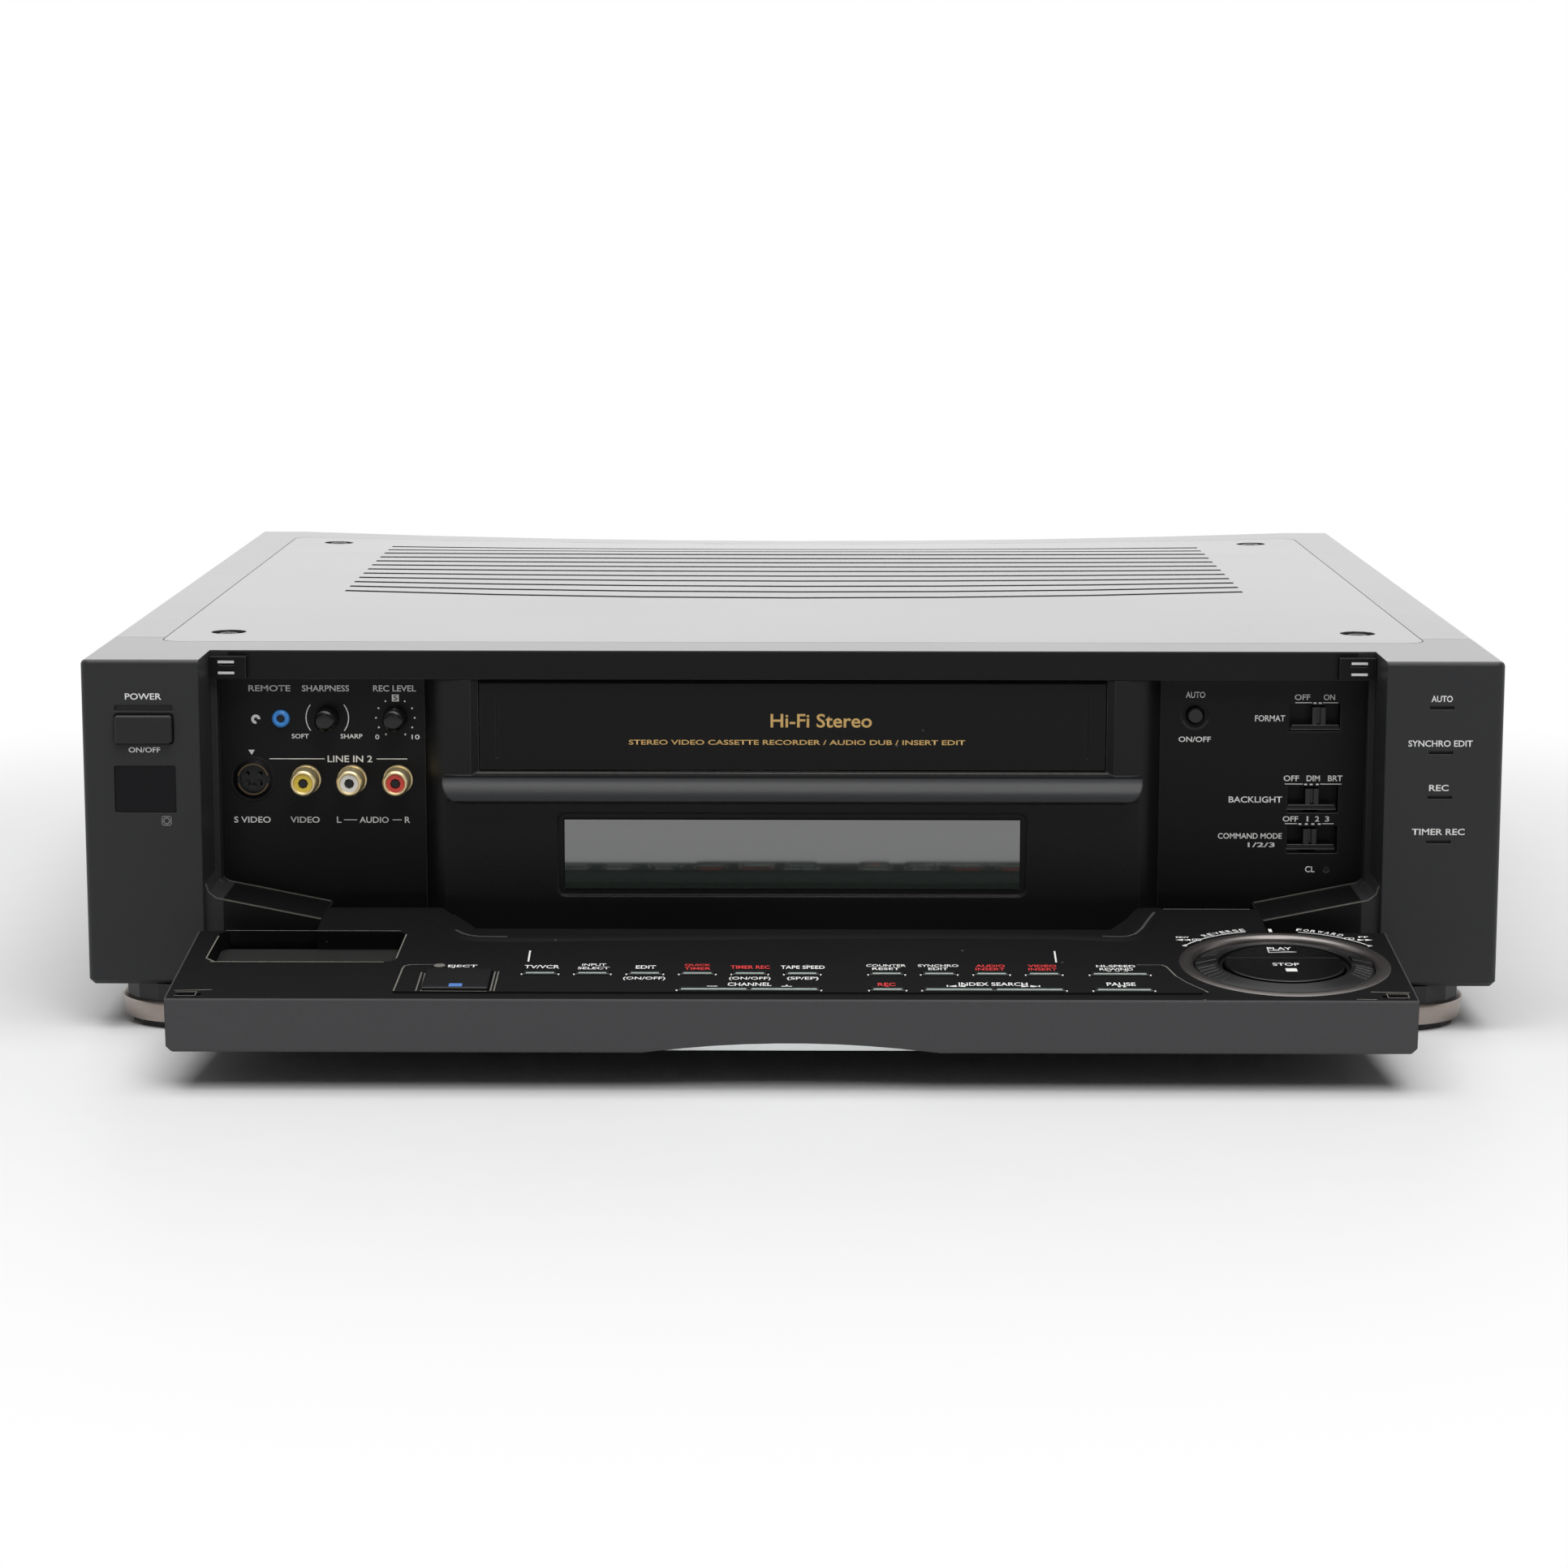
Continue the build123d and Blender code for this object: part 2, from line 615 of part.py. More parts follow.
def plate_seat(gap):
    """Space that the top plate takes, open upwards, with the sag in its floor."""
    low = TOP_Z - PLATE_THICKNESS
    high = TOP_Z + 1
    space = box((-PLATE_HALF, PLATE_HALF), (PLATE_FRONT, SAG_START), (low, high))
    space += sag_body(low, high, False)
    return space & plate_outline(gap, (low - SAG - 1, high + 1))


def louvre_edge(y, bow):
    """Long side of a slot, bowed towards the front, in short straight steps."""
    places = [2 * step / LOUVRE_STEPS - 1 for step in range(LOUVRE_STEPS + 1)]
    return [(LOUVRE_HALF_LENGTH * t, y - bow * (1 - t * t)) for t in places]


def louvre_slot(y, bow, z):
    """One slot with both long sides bowed towards the front."""
    back = louvre_edge(y + LOUVRE_SLOT / 2, bow)
    front = louvre_edge(y - LOUVRE_SLOT / 2, bow)
    return prism_z(front + back[::-1], z)


def screw_places():
    pairs = zip(SCREW_INSETS, (SCREW_FRONT_Y, SCREW_REAR_Y))
    return [(side * (PLATE_HALF - inset), y) for inset, y in pairs for side in (-1, 1)]


def top_plate():
    low = TOP_Z - PLATE_THICKNESS
    plate = box((-PLATE_HALF, PLATE_HALF), (PLATE_FRONT, SAG_START), (low, TOP_Z))
    plate += sag_body(TOP_Z, low, True)
    plate &= plate_outline(PANEL_GAP, (low - SAG - 1, TOP_Z + 1))
    pitch = (LOUVRE_LAST - LOUVRE_FIRST) / (LOUVRE_COUNT - 1)
    for index in range(LOUVRE_COUNT):
        fade = (1 - index / (LOUVRE_COUNT - 1)) ** 3
        bow = LOUVRE_BOW_BACK + (LOUVRE_BOW_FRONT - LOUVRE_BOW_BACK) * fade
        plate -= louvre_slot(LOUVRE_FIRST + index * pitch, bow, (low - SAG - 1, TOP_Z + 1))
    for x, y in screw_places():
        plate -= peg_z(SCREW_DISH_RADIUS, x, y, (TOP_Z - SCREW_DISH, TOP_Z + 1))
    return plate


def case_cover():
    front = BEZEL_DEPTH + PANEL_GAP
    cover = box((-HALF, HALF), (front, CASE_DEPTH), (BOTTOM_Z, TOP_Z))
    cover = fillet(cover.edges().filter_by(Axis.Y).group_by(Axis.Z)[-1], EDGE_RADIUS)
    ceiling = TOP_Z - PLATE_THICKNESS - SAG - SHEET
    cover -= box((-HALF + SHEET, HALF - SHEET), (front - 1, CASE_DEPTH + 1), (BOTTOM_Z - 1, ceiling))
    cover -= sag_body(TOP_Z, TOP_Z + 1, False)
    cover -= plate_seat(0)
    cover -= box((-PLATE_HALF + LEDGE_WIDTH, PLATE_HALF - LEDGE_WIDTH),
                 (front - 1, PLATE_BACK - LEDGE_WIDTH), (ceiling - 1, TOP_Z + 1))
    return cover


def case_screws():
    """Screws of the top plate, and two through each side of the cover."""
    heads = []
    for x, y in screw_places():
        seat = TOP_Z - SCREW_DISH + SCREW_SEAT
        head = peg_z(SCREW_HEAD_RADIUS, x, y, (seat, seat + 1.0))
        slot = box((x - 2.5, x + 2.5), (y - 0.5, y + 0.5), (seat + 0.4, TOP_Z))
        heads.append(head - slot)
    for side in (-1, 1):
        for y in (SIDE_SCREW_FRONT_Y, SIDE_SCREW_REAR_Y):
            outline = Pos(y, BOTTOM_Z + SIDE_SCREW_RISE) * RegularPolygon(SCREW_HEAD_RADIUS, 12)
            head = prism_x(outline, (HALF, HALF + SIDE_SCREW_PROUD))
            heads.append(head if side > 0 else mirror(head, Plane.YZ))
    return Compound(children=heads)


def bottom_chassis():
    """Steel tray that carries the deck, the boards and the feet."""
    inset = SHEET + SEAT_GAP
    half = HALF - inset
    front = BEZEL_DEPTH + PANEL_GAP
    tray = box((-half, half), (front, REAR_PANEL_Y - SEAT_GAP), (BOTTOM_Z, BOTTOM_Z + TRAY_LIP))
    tray -= box((-half + SHEET, half - SHEET), (front - 1, CASE_DEPTH), (CHASSIS_TOP, TOP_Z))
    for row in range(VENT_ROWS):
        for side in (-1, 1):
            x = side * VENT_X
            y = VENT_FIRST + row * VENT_PITCH
            tray -= box((x - VENT_LENGTH / 2, x + VENT_LENGTH / 2), (y - VENT_SLOT / 2, y + VENT_SLOT / 2),
                        (BOTTOM_Z - 1, CHASSIS_TOP + 1))
    return tray


def foot_places():
    return [(side * FOOT_X, y) for y in (FOOT_FRONT_Y, FOOT_REAR_Y) for side in (-1, 1)]


def foot_cores():
    """Black moulded feet: flange under the case, core inside the trim ring, pad on the floor."""
    ring_top = FOOT_PAD_HEIGHT + FOOT_RING_HEIGHT
    foot = peg_z(FOOT_RADIUS - 3, 0, 0, (0, FOOT_PAD_HEIGHT), FOOT_SIDES)
    foot += peg_z(FOOT_CORE_RADIUS - SEAT_GAP, 0, 0, (FOOT_PAD_HEIGHT - 1, ring_top + 1), FOOT_CORE_SIDES)
    foot += peg_z(FOOT_RADIUS - 1.5, 0, 0, (ring_top, FOOT_HEIGHT), FOOT_SIDES)
    return Compound(children=[Pos(x, y, 0) * foot for x, y in foot_places()])


def foot_rings():
    """Tapered metal trim rings round the feet."""
    ring_top = FOOT_PAD_HEIGHT + FOOT_RING_HEIGHT
    low = Pos(0, 0, FOOT_PAD_HEIGHT) * RegularPolygon(FOOT_RADIUS - 1, FOOT_SIDES)
    high = Pos(0, 0, ring_top) * RegularPolygon(FOOT_RADIUS, FOOT_SIDES)
    ring = loft([low, high], ruled=True) - peg_z(FOOT_CORE_RADIUS, 0, 0, (0, FOOT_HEIGHT), FOOT_CORE_SIDES)
    return Compound(children=[Pos(x, y, 0) * ring for x, y in foot_places()])


# ------------------------------------------------------------------ centre block, door and display
def cassette_surround():
    """Block in the middle of the opening: cassette slot, rounded lip and display frame."""
    half = BLOCK_WIDTH / 2
    shoulder = half - BLOCK_SHOULDER
    plan = Line((-shoulder, BLOCK_FRONT), (shoulder, BLOCK_FRONT))
    plan += TangentArc((shoulder, BLOCK_FRONT), (half, PANEL_FACE), tangent=(1, 0))
    plan += Line((half, PANEL_FACE), (half, BLOCK_BACK))
    plan += Line((half, BLOCK_BACK), (-half, BLOCK_BACK))
    plan += Line((-half, BLOCK_BACK), (-half, PANEL_FACE))
    plan += TangentArc((-shoulder, BLOCK_FRONT), (-half, PANEL_FACE), tangent=(-1, 0))
    low = RAIL_TOP + PANEL_GAP
    high = STRIP_BOTTOM - SEAT_GAP
    block = prism_z(make_face(plan), (low, high))

    # The face below the lip stands a little further back.
    lip_top = SLOT_BOTTOM - SLOT_FRAME / 2
    lip_low = lip_top - LIP_HEIGHT
    block -= box((-half - 1, half + 1), (BLOCK_FRONT - 1, BLOCK_FRONT + 1), (low - 1, lip_low))

    # Rounded lip under the slot, its lower corners rounded in front view.
    front = BLOCK_FRONT - LIP_PROUD
    side = Line((BLOCK_FRONT + 2, lip_top), (BLOCK_FRONT, lip_top))
    side += ThreePointArc((BLOCK_FRONT, lip_top), (front + 1.3, lip_top - 3.0), (front, lip_low + 1.0))
    side += Line((front, lip_low + 1.0), (front + 1.2, lip_low))
    side += Line((front + 1.2, lip_low), (BLOCK_FRONT + 2, lip_low))
    side += Line((BLOCK_FRONT + 2, lip_low), (BLOCK_FRONT + 2, lip_top))
    lip = prism_x(make_face(side), (-LIP_WIDTH / 2, LIP_WIDTH / 2))
    face = RectangleRounded(LIP_WIDTH, 4 * LIP_HEIGHT, LIP_HEIGHT - 1)
    lip &= prism_y(Pos(0, lip_low + 2 * LIP_HEIGHT) * face, (front - 1, BLOCK_FRONT + 3))
    block += lip

    # Slot for the cassette with a bevelled frame; the door hangs in it on two short axles.
    block -= box((-SLOT_HALF, SLOT_HALF), (0, BLOCK_BACK + 1), (SLOT_BOTTOM, high + 1))
    bevel = loft([
        Plane((0, BLOCK_FRONT - 0.01, 0), x_dir=(1, 0, 0), z_dir=(0, -1, 0))
        * (Pos(0, slot_middle() + 5)
           * Rectangle(SLOT_WIDTH + 2 * SLOT_FRAME, slot_height() + SLOT_FRAME + 10)),
        Plane((0, DOOR_FRONT, 0), x_dir=(1, 0, 0), z_dir=(0, -1, 0))
        * (Pos(0, slot_middle() + 5) * Rectangle(SLOT_WIDTH, slot_height() + 10)),
    ], ruled=True)
    block -= bevel
    axle = (SLOT_HALF - 1, SLOT_HALF + DOOR_AXLE_LENGTH)
    block -= mirrored(rod_x(DOOR_AXLE_RADIUS + RUNNING_GAP, axle, DOOR_AXIS_Y, DOOR_AXIS_Z))

    # Sunk display frame and the hole that takes the pane.
    middle_z = BOTTOM_Z + DISPLAY_RISE
    frame = RectangleRounded(DISPLAY_WIDTH, DISPLAY_HEIGHT, 2.5)
    sink = BLOCK_FRONT + 1 + DISPLAY_SINK
    block -= prism_y(Pos(0, middle_z) * frame, (BLOCK_FRONT - 1, sink))
    pane = Rectangle(DISPLAY_WIDTH - 2 * DISPLAY_FRAME, DISPLAY_HEIGHT - 2 * DISPLAY_FRAME)
    block -= prism_y(Pos(0, middle_z) * pane, (BLOCK_FRONT, BLOCK_BACK + 1))
    return block


def slot_height():
    return STRIP_BOTTOM - SLOT_BOTTOM


def slot_middle():
    return (STRIP_BOTTOM + SLOT_BOTTOM) / 2


def cassette_door():
    """Flap door of the slot, turning inwards about its top edge."""
    half = SLOT_HALF - DOOR_GAP
    round_top = DOOR_THICKNESS / 2
    leaf = box((-half, half), (DOOR_FRONT, DOOR_FRONT + DOOR_THICKNESS),
               (SLOT_BOTTOM + DOOR_GAP, DOOR_AXIS_Z))
    leaf += peg_x(round_top, (-half, half), DOOR_AXIS_Y, DOOR_AXIS_Z)
    leaf += rod_x(DOOR_AXLE_RADIUS, (-SLOT_HALF - DOOR_AXLE_LENGTH + 0.2, SLOT_HALF + DOOR_AXLE_LENGTH - 0.2),
                  DOOR_AXIS_Y, DOOR_AXIS_Z)
    # Two shallow upright grooves near the ends.
    for side in (-1, 1):
        x = side * (half - 5.5)
        leaf -= box((x - 0.4, x + 0.4), (DOOR_FRONT - 1, DOOR_FRONT + 0.5),
                    (SLOT_BOTTOM + 4, DOOR_AXIS_Z - 3.5))
    return leaf


def display_window():
    """Glossy pane of the display."""
    width = DISPLAY_WIDTH - 2 * DISPLAY_FRAME - 2 * SEAT_GAP
    height = DISPLAY_HEIGHT - 2 * DISPLAY_FRAME - 2 * SEAT_GAP
    front = BLOCK_FRONT + 1 + DISPLAY_SINK - 0.5
    return prism_y(Pos(0, BOTTOM_Z + DISPLAY_RISE) * Rectangle(width, height), (front, front + DISPLAY_PANE))


def display_module():
    """Display tube behind the pane, on its circuit board."""
    front = BLOCK_FRONT + 1 + DISPLAY_SINK - 0.5 + DISPLAY_PANE
    middle = BOTTOM_Z + DISPLAY_RISE
    width = DISPLAY_WIDTH - 2 * DISPLAY_FRAME - 2
    height = DISPLAY_HEIGHT - 2 * DISPLAY_FRAME - 2
    tube = box((-width / 2, width / 2), (front, BLOCK_BACK), (middle - height / 2, middle + height / 2))
    board = box((-width / 2 - 8, width / 2 + 8), (BLOCK_BACK, BLOCK_BACK + SHEET),
                (middle - height / 2 - 6, middle + height / 2 + 4))
    return tube + board


# ------------------------------------------------------------------ side panels and their controls
def panel_outline(inner, outer):
    """Right side panel in front view, a little larger than the opening in the rim before it."""
    top = STRIP_BOTTOM + PANEL_LAP
    return [(inner, top), (outer, top), (outer, BOTTOM_Z + SHELF_WALL_RISE - 2 * PANEL_LAP),
            (SHELF_END + PANEL_LAP, BOTTOM_Z + SHELF_END_RISE - 2 * PANEL_LAP),
            (SHELF_END + PANEL_LAP, RAIL_TOP - PANEL_LAP), (inner, RAIL_TOP - PANEL_LAP)]


def control_panels():
    """Jack panel on the left and switch panel on the right, seated behind the bezel's rim."""
    inner = BLOCK_WIDTH / 2 + SEAT_GAP
    outline = panel_outline(inner, OPENING_HALF + 1)
    right = prism_y(outline, (PANEL_FACE, PANEL_FACE + PANEL_SHEET))
    left = mirror(right, Plane.YZ)
    back = PANEL_FACE + PANEL_SHEET + 1

    # Left panel: knobs, small control socket, picture-lead socket in a dish, three coaxial jacks.
    knob_z = BOTTOM_Z + KNOB_RISE
    for x in (SHARPNESS_X, LEVEL_X):
        left -= rod_y(KNOB_SHAFT_RADIUS + RUNNING_GAP, x, (PANEL_FACE - 1, back), knob_z)
    left -= peg_y(CONTROL_SOCKET_RADIUS, CONTROL_SOCKET_X, (PANEL_FACE - 1, back),
                  BOTTOM_Z + CONTROL_SOCKET_RISE)
    left -= peg_y(S_VIDEO_RADIUS, S_VIDEO_X, (PANEL_FACE - 1, back), BOTTOM_Z + SOCKET_RISE, 16)
    for index in range(3):
        left -= peg_y(RCA_RADIUS, RCA_X + index * RCA_PITCH, (PANEL_FACE - 1, back), BOTTOM_Z + SOCKET_RISE)

    # Right panel: dished hole of the round button, wells of the slide switches, reset hole.
    picture_z = BOTTOM_Z + PICTURE_RISE
    right -= peg_y(PICTURE_RADIUS + SLIDE_GAP, PICTURE_X, (PANEL_FACE - 1, back), picture_z)
    right -= peg_y(PICTURE_DISH, PICTURE_X, (PANEL_FACE - 1, PANEL_FACE + 0.5), picture_z, 16)
    for rise in SWITCH_RISES:
        z = BOTTOM_Z + rise
        well_back = PANEL_FACE + SWITCH_WELL
        right += box((SWITCH_X - SWITCH_WIDTH / 2 - 1, SWITCH_X + SWITCH_WIDTH / 2 + 1),
                     (PANEL_FACE + 0.5, well_back + SHEET),
                     (z - SWITCH_HEIGHT / 2 - 1, z + SWITCH_HEIGHT / 2 + 1))
    for rise in SWITCH_RISES:
        z = BOTTOM_Z + rise
        right -= box((SWITCH_X - SWITCH_WIDTH / 2, SWITCH_X + SWITCH_WIDTH / 2), (PANEL_FACE - 1, well_back),
                     (z - SWITCH_HEIGHT / 2, z + SWITCH_HEIGHT / 2))
    return Compound(children=[left, right])


def knob(x):
    """Ribbed knob with a flat on its face, on a shaft through the panel."""
    z = BOTTOM_Z + KNOB_RISE
    plane = Plane((x, PANEL_FACE - SEAT_GAP, z), x_dir=(1, 0, 0), z_dir=(0, -1, 0))
    grip = extrude(plane * RegularPolygon(KNOB_RADIUS, 16), KNOB_LENGTH, taper=3)
    grip = chamfer(grip.faces().sort_by(Axis.Y)[0].edges(), 0.5)
    shaft = rod_y(KNOB_SHAFT_RADIUS, x, (PANEL_FACE - SEAT_GAP - 1, PANEL_FACE + PANEL_SHEET + 3), z)
    return grip + shaft


def power_button():
    z = BOTTOM_Z + POWER_RISE
    cap = prism_y(Pos(POWER_X, z) * cut_corners(POWER_WIDTH, POWER_HEIGHT, 0.6), (-POWER_PROUD, BEZEL_WALL))
    cap = chamfer(cap.faces().sort_by(Axis.Y)[0].edges(), 0.5)
    flange = box((POWER_X - POWER_WIDTH / 2 - POWER_FLANGE, POWER_X + POWER_WIDTH / 2 + POWER_FLANGE),
                 (BEZEL_WALL + SLIDE_GAP, BEZEL_WALL + SLIDE_GAP + 1.5),
                 (z - POWER_HEIGHT / 2 - 0.8, z + POWER_HEIGHT / 2 + 0.8))
    neck = box((POWER_X - POWER_WIDTH / 4, POWER_X + POWER_WIDTH / 4), (BEZEL_WALL - 1, BEZEL_WALL + 1),
               (z - POWER_HEIGHT / 4, z + POWER_HEIGHT / 4))
    return cap + neck + flange


def sensor_window():
    """Dark window of the remote-control sensor, flush in the left pillar."""
    z = BOTTOM_Z + WINDOW_RISE
    pane = prism_y(Pos(WINDOW_X, z) * cut_corners(WINDOW_WIDTH, WINDOW_HEIGHT, 0.5), (0.5, BEZEL_WALL))
    flange = box((WINDOW_X - WINDOW_WIDTH / 2 - 1.5, WINDOW_X + WINDOW_WIDTH / 2 + 1.5),
                 (BEZEL_WALL, BEZEL_WALL + 1.2), (z - WINDOW_HEIGHT / 2 - 1, z + WINDOW_HEIGHT / 2 + 1.5))
    return pane + flange


def picture_button():
    z = BOTTOM_Z + PICTURE_RISE
    cap = peg_y(PICTURE_RADIUS, PICTURE_X, (PANEL_FACE - 1.6, PANEL_FACE + PANEL_SHEET + 0.4), z)
    cap = chamfer(cap.faces().sort_by(Axis.Y)[0].edges(), 0.6)
    flange_front = PANEL_FACE + PANEL_SHEET + PICTURE_TRAVEL_GAP
    flange = peg_y(PICTURE_RADIUS + 1.2, PICTURE_X, (flange_front, flange_front + 1.2), z, 8)
    return cap + flange


def switch_slider(rise, offset):
    """Ribbed thumb piece of a slide switch, running along its well."""
    x = SWITCH_X + offset
    z = BOTTOM_Z + rise
    front = PANEL_FACE + 0.4
    back = PANEL_FACE + SWITCH_WELL - SEAT_GAP
    width = (x - SLIDER_WIDTH / 2, x + SLIDER_WIDTH / 2)
    slider = box(width, (front, back), (z - SLIDER_HEIGHT / 2, z + SLIDER_HEIGHT / 2))
    slider -= box((x - 0.5, x + 0.5), (front - 1, front + 1.2), (z - SLIDER_HEIGHT, z + SLIDER_HEIGHT))
    base_height = SWITCH_HEIGHT - 2 * SEAT_GAP
    slider += box(width, (back - 1, back), (z - base_height / 2, z + base_height / 2))
    return slider


def rca_jacks():
    """Gilt shells of the three front coaxial jacks."""
    z = BOTTOM_Z + SOCKET_RISE
    shells = []
    for index in range(3):
        x = RCA_X + index * RCA_PITCH
        front = PANEL_FACE - RCA_LENGTH
        shell = peg_y(RCA_RADIUS - RUNNING_GAP, x, (front, PANEL_FACE + PANEL_SHEET + 2), z)
        shell += peg_y(RCA_RADIUS + 0.8, x, (PANEL_FACE - 2.5, PANEL_FACE - SEAT_GAP), z)
        shell -= peg_y(RCA_RADIUS - 1.2, x, (front - 1, PANEL_FACE), z)
        shells.append(shell)
    return Compound(children=shells)


def rca_inserts():
    """Insulators inside the gilt shells, each with the contact bore."""
    z = BOTTOM_Z + SOCKET_RISE
    inserts = []
    for index in range(3):
        x = RCA_X + index * RCA_PITCH
        front = PANEL_FACE - RCA_LENGTH + 0.6
        insert = peg_y(RCA_RADIUS - 1.2 - RUNNING_GAP, x, (front, PANEL_FACE), z)
        insert -= peg_y(RCA_BORE, x, (front - 1, PANEL_FACE - 1), z, 8)
        inserts.append(insert)
    return Compound(children=inserts)


def s_video_socket():
    """Round four-pin picture socket, a little sunk in its hole."""
    z = BOTTOM_Z + SOCKET_RISE
    back = PANEL_FACE + PANEL_SHEET + 6
    shell = peg_y(S_VIDEO_RADIUS - RUNNING_GAP, S_VIDEO_X, (PANEL_FACE - 0.6, back), z, 16)
    shell -= peg_y(S_VIDEO_RADIUS - 0.7, S_VIDEO_X, (PANEL_FACE - 1, PANEL_FACE + 1), z, 16)
    for x in (-1, 1):
        for dz in (-1, 1):
            shell -= box((S_VIDEO_X + x * 2 - 0.5, S_VIDEO_X + x * 2 + 0.5), (PANEL_FACE, PANEL_FACE + 4),
                         (z + dz * 1.6 - 0.5, z + dz * 1.6 + 0.5))
    return shell


def control_socket():
    """Small control-lead socket with a coloured collar."""
    z = BOTTOM_Z + CONTROL_SOCKET_RISE
    x = CONTROL_SOCKET_X
    span = (PANEL_FACE - 1.2, PANEL_FACE + PANEL_SHEET + 4)
    collar = peg_y(CONTROL_SOCKET_RADIUS - RUNNING_GAP, x, span, z)
    return collar - peg_y(CONTROL_SOCKET_BORE, x, (PANEL_FACE - 2, PANEL_FACE + PANEL_SHEET + 2), z, 10)


def door_catches():
    """Latch housings under the top strip that hold the closed flap."""
    high = STRIP_BOTTOM + STRIP_HEIGHT - 1.6
    catch = box((OPENING_HALF - 11.4, OPENING_HALF - SEAT_GAP), (STRIP_DEPTH - 3.0, STRIP_DEPTH - 0.01),
                (STRIP_BOTTOM + 0.4, high))
    for z in (high - 2.2, high - 4.8):
        catch -= box((OPENING_HALF - 8.0, OPENING_HALF - 3.2), (STRIP_DEPTH - 4, STRIP_DEPTH - 2.2),
                     (z - 0.5, z + 0.5))
    return Compound(children=[catch, mirror(catch, Plane.YZ)])


# ------------------------------------------------------------------ control flap, drawn closed
def flap_section(thickness_from):
    """Side outline of the full-thickness flap at a hinge lug, in (y, z)."""
    edge = Line((0, TOP_Z), (0, HINGE_Z))
    edge += RadiusArc((0, HINGE_Z), (HINGE_BACK, HINGE_Z - HINGE_BACK), -HINGE_BACK)
    edge += Line((HINGE_BACK, HINGE_Z - HINGE_BACK), (thickness_from, HINGE_Z - LUG_TAIL))
    edge += Line((thickness_from, HINGE_Z - LUG_TAIL), (thickness_from, TOP_Z))
    edge += Line((thickness_from, TOP_Z), (0, TOP_Z))
    return make_face(edge)


def control_flap():
    """Drop-down flap with the keys and the dial on its inner face."""
    flap = prism_x(flap_section(FLAP_THICKNESS), (-FLAP_HALF, FLAP_HALF))
    flap = chamfer(flap.faces().sort_by(Axis.Z)[-1].edges().filter_by(Axis.X), 0.5)
    corner = FLAP_CHAMFER + 1
    wedge = [(FLAP_HALF - corner, -1), (FLAP_HALF + 1, -1), (FLAP_HALF + 1, corner)]
    flap -= mirrored(prism_z(wedge, (0, TOP_Z + 1)))

    # Only the skin remains outside the lugs' lower ends and in the trough between them.
    tail = HINGE_Z - 2 * HINGE_BACK
    outside = box((LUG_OUTER, FLAP_HALF + 1), (FLAP_SKIN, FLAP_THICKNESS + 1),
                  (tail, HINGE_Z + OUTER_CUT_TOP))
    flap -= mirrored(outside)
    narrow = LUG_INNER - TROUGH_NARROWING
    trough = prism_y([(-LUG_INNER, tail), (LUG_INNER, tail), (LUG_INNER, HINGE_Z - LUG_TAIL),
                      (narrow, HINGE_Z + TROUGH_TOP), (-narrow, HINGE_Z + TROUGH_TOP),
                      (-LUG_INNER, HINGE_Z - LUG_TAIL)], (FLAP_SKIN, FLAP_THICKNESS + 1))
    flap -= trough

    # Hinge pins on the lugs' outer faces.
    pin = (LUG_OUTER - 1, SHELF_END + HINGE_PIN_LENGTH - 0.4)
    flap += mirrored(rod_x(HINGE_PIN_RADIUS, pin, HINGE_BACK, HINGE_Z))

    # Finger scoop in the outer face at the free edge: a wide cylinder cut at a slant.
    radius = ((SCOOP_WIDTH / 2) ** 2 + SCOOP_DEPTH ** 2) / (2 * SCOOP_DEPTH)
    scoop_end = Pos(0, SCOOP_DEPTH - radius, TOP_Z) * Circle(radius)
    flap -= extrude(scoop_end, 2 * SCOOP_FADE, dir=(0, -SCOOP_DEPTH / SCOOP_FADE, -1))

    # Cable pocket on the left, raised key panel in the middle.
    pocket = RectangleRounded(POCKET_WIDTH, POCKET_HIGH - POCKET_LOW, 4)
    plane = inner_plane(POCKET_X, (POCKET_LOW + POCKET_HIGH) / 2)
    flap -= extrude(plane * pocket, -POCKET_DEPTH)
    flap += key_panel()

    # Round well of the dial, with the inner step that carries the shuttle ring and the keys.
    dial = inner_plane(DIAL_X, DIAL_RISE)
    flap -= extrude(dial * RegularPolygon(DIAL_RADIUS - 1.5, DIAL_SIDES), -DIAL_SINK)
    flap += extrude(dial.offset(-DIAL_SINK) * RegularPolygon(SHUTTLE_HUB_RADIUS, DIAL_SIDES), DIAL_SINK - 1.0)
    for key in (play_key, stop_key):
        flap -= key(SLIDE_GAP, -DISK_WELL, 2)

    # Wells of the keys.
    for x, front, width in KEYS.values():
        flap -= key_block(x, front, width, KEY_DEPTH, SLIDE_GAP, -ROW_WELL, 2)
    flap -= key_block(EJECT_X, EJECT_FRONT, EJECT_WIDTH, EJECT_DEPTH, SLIDE_GAP, -KEY_WELL, 2)

    # Small strike recesses at the free corners, which meet the latches.
    for side in (-1, 1):
        flap -= extrude(inner_plane(side * (FLAP_HALF - 6.5), FLAP_REACH - 3.4) * Rectangle(7, 4), -0.6)
    return flap


def key_panel():
    """Low raised panel round the keys; its right end curves round the dial."""
    left = -113.4
    right = 110.0
    face = Polygon((left, -KEY_PANEL_HIGH), (right + 7.5, -KEY_PANEL_HIGH), (right + 3, -KEY_PANEL_LOW - 13),
                   (right, -KEY_PANEL_LOW), (left, -KEY_PANEL_LOW), align=None)
    plane = Plane((0, FLAP_THICKNESS, HINGE_Z), x_dir=(1, 0, 0), z_dir=(0, 1, 0))
    panel = extrude(plane * face, KEY_PANEL_PROUD, dir=(0, 1, 0))
    return panel - extrude(inner_plane(DIAL_X, DIAL_RISE) * RegularPolygon(DIAL_RADIUS + 0.8, DIAL_SIDES), 4)


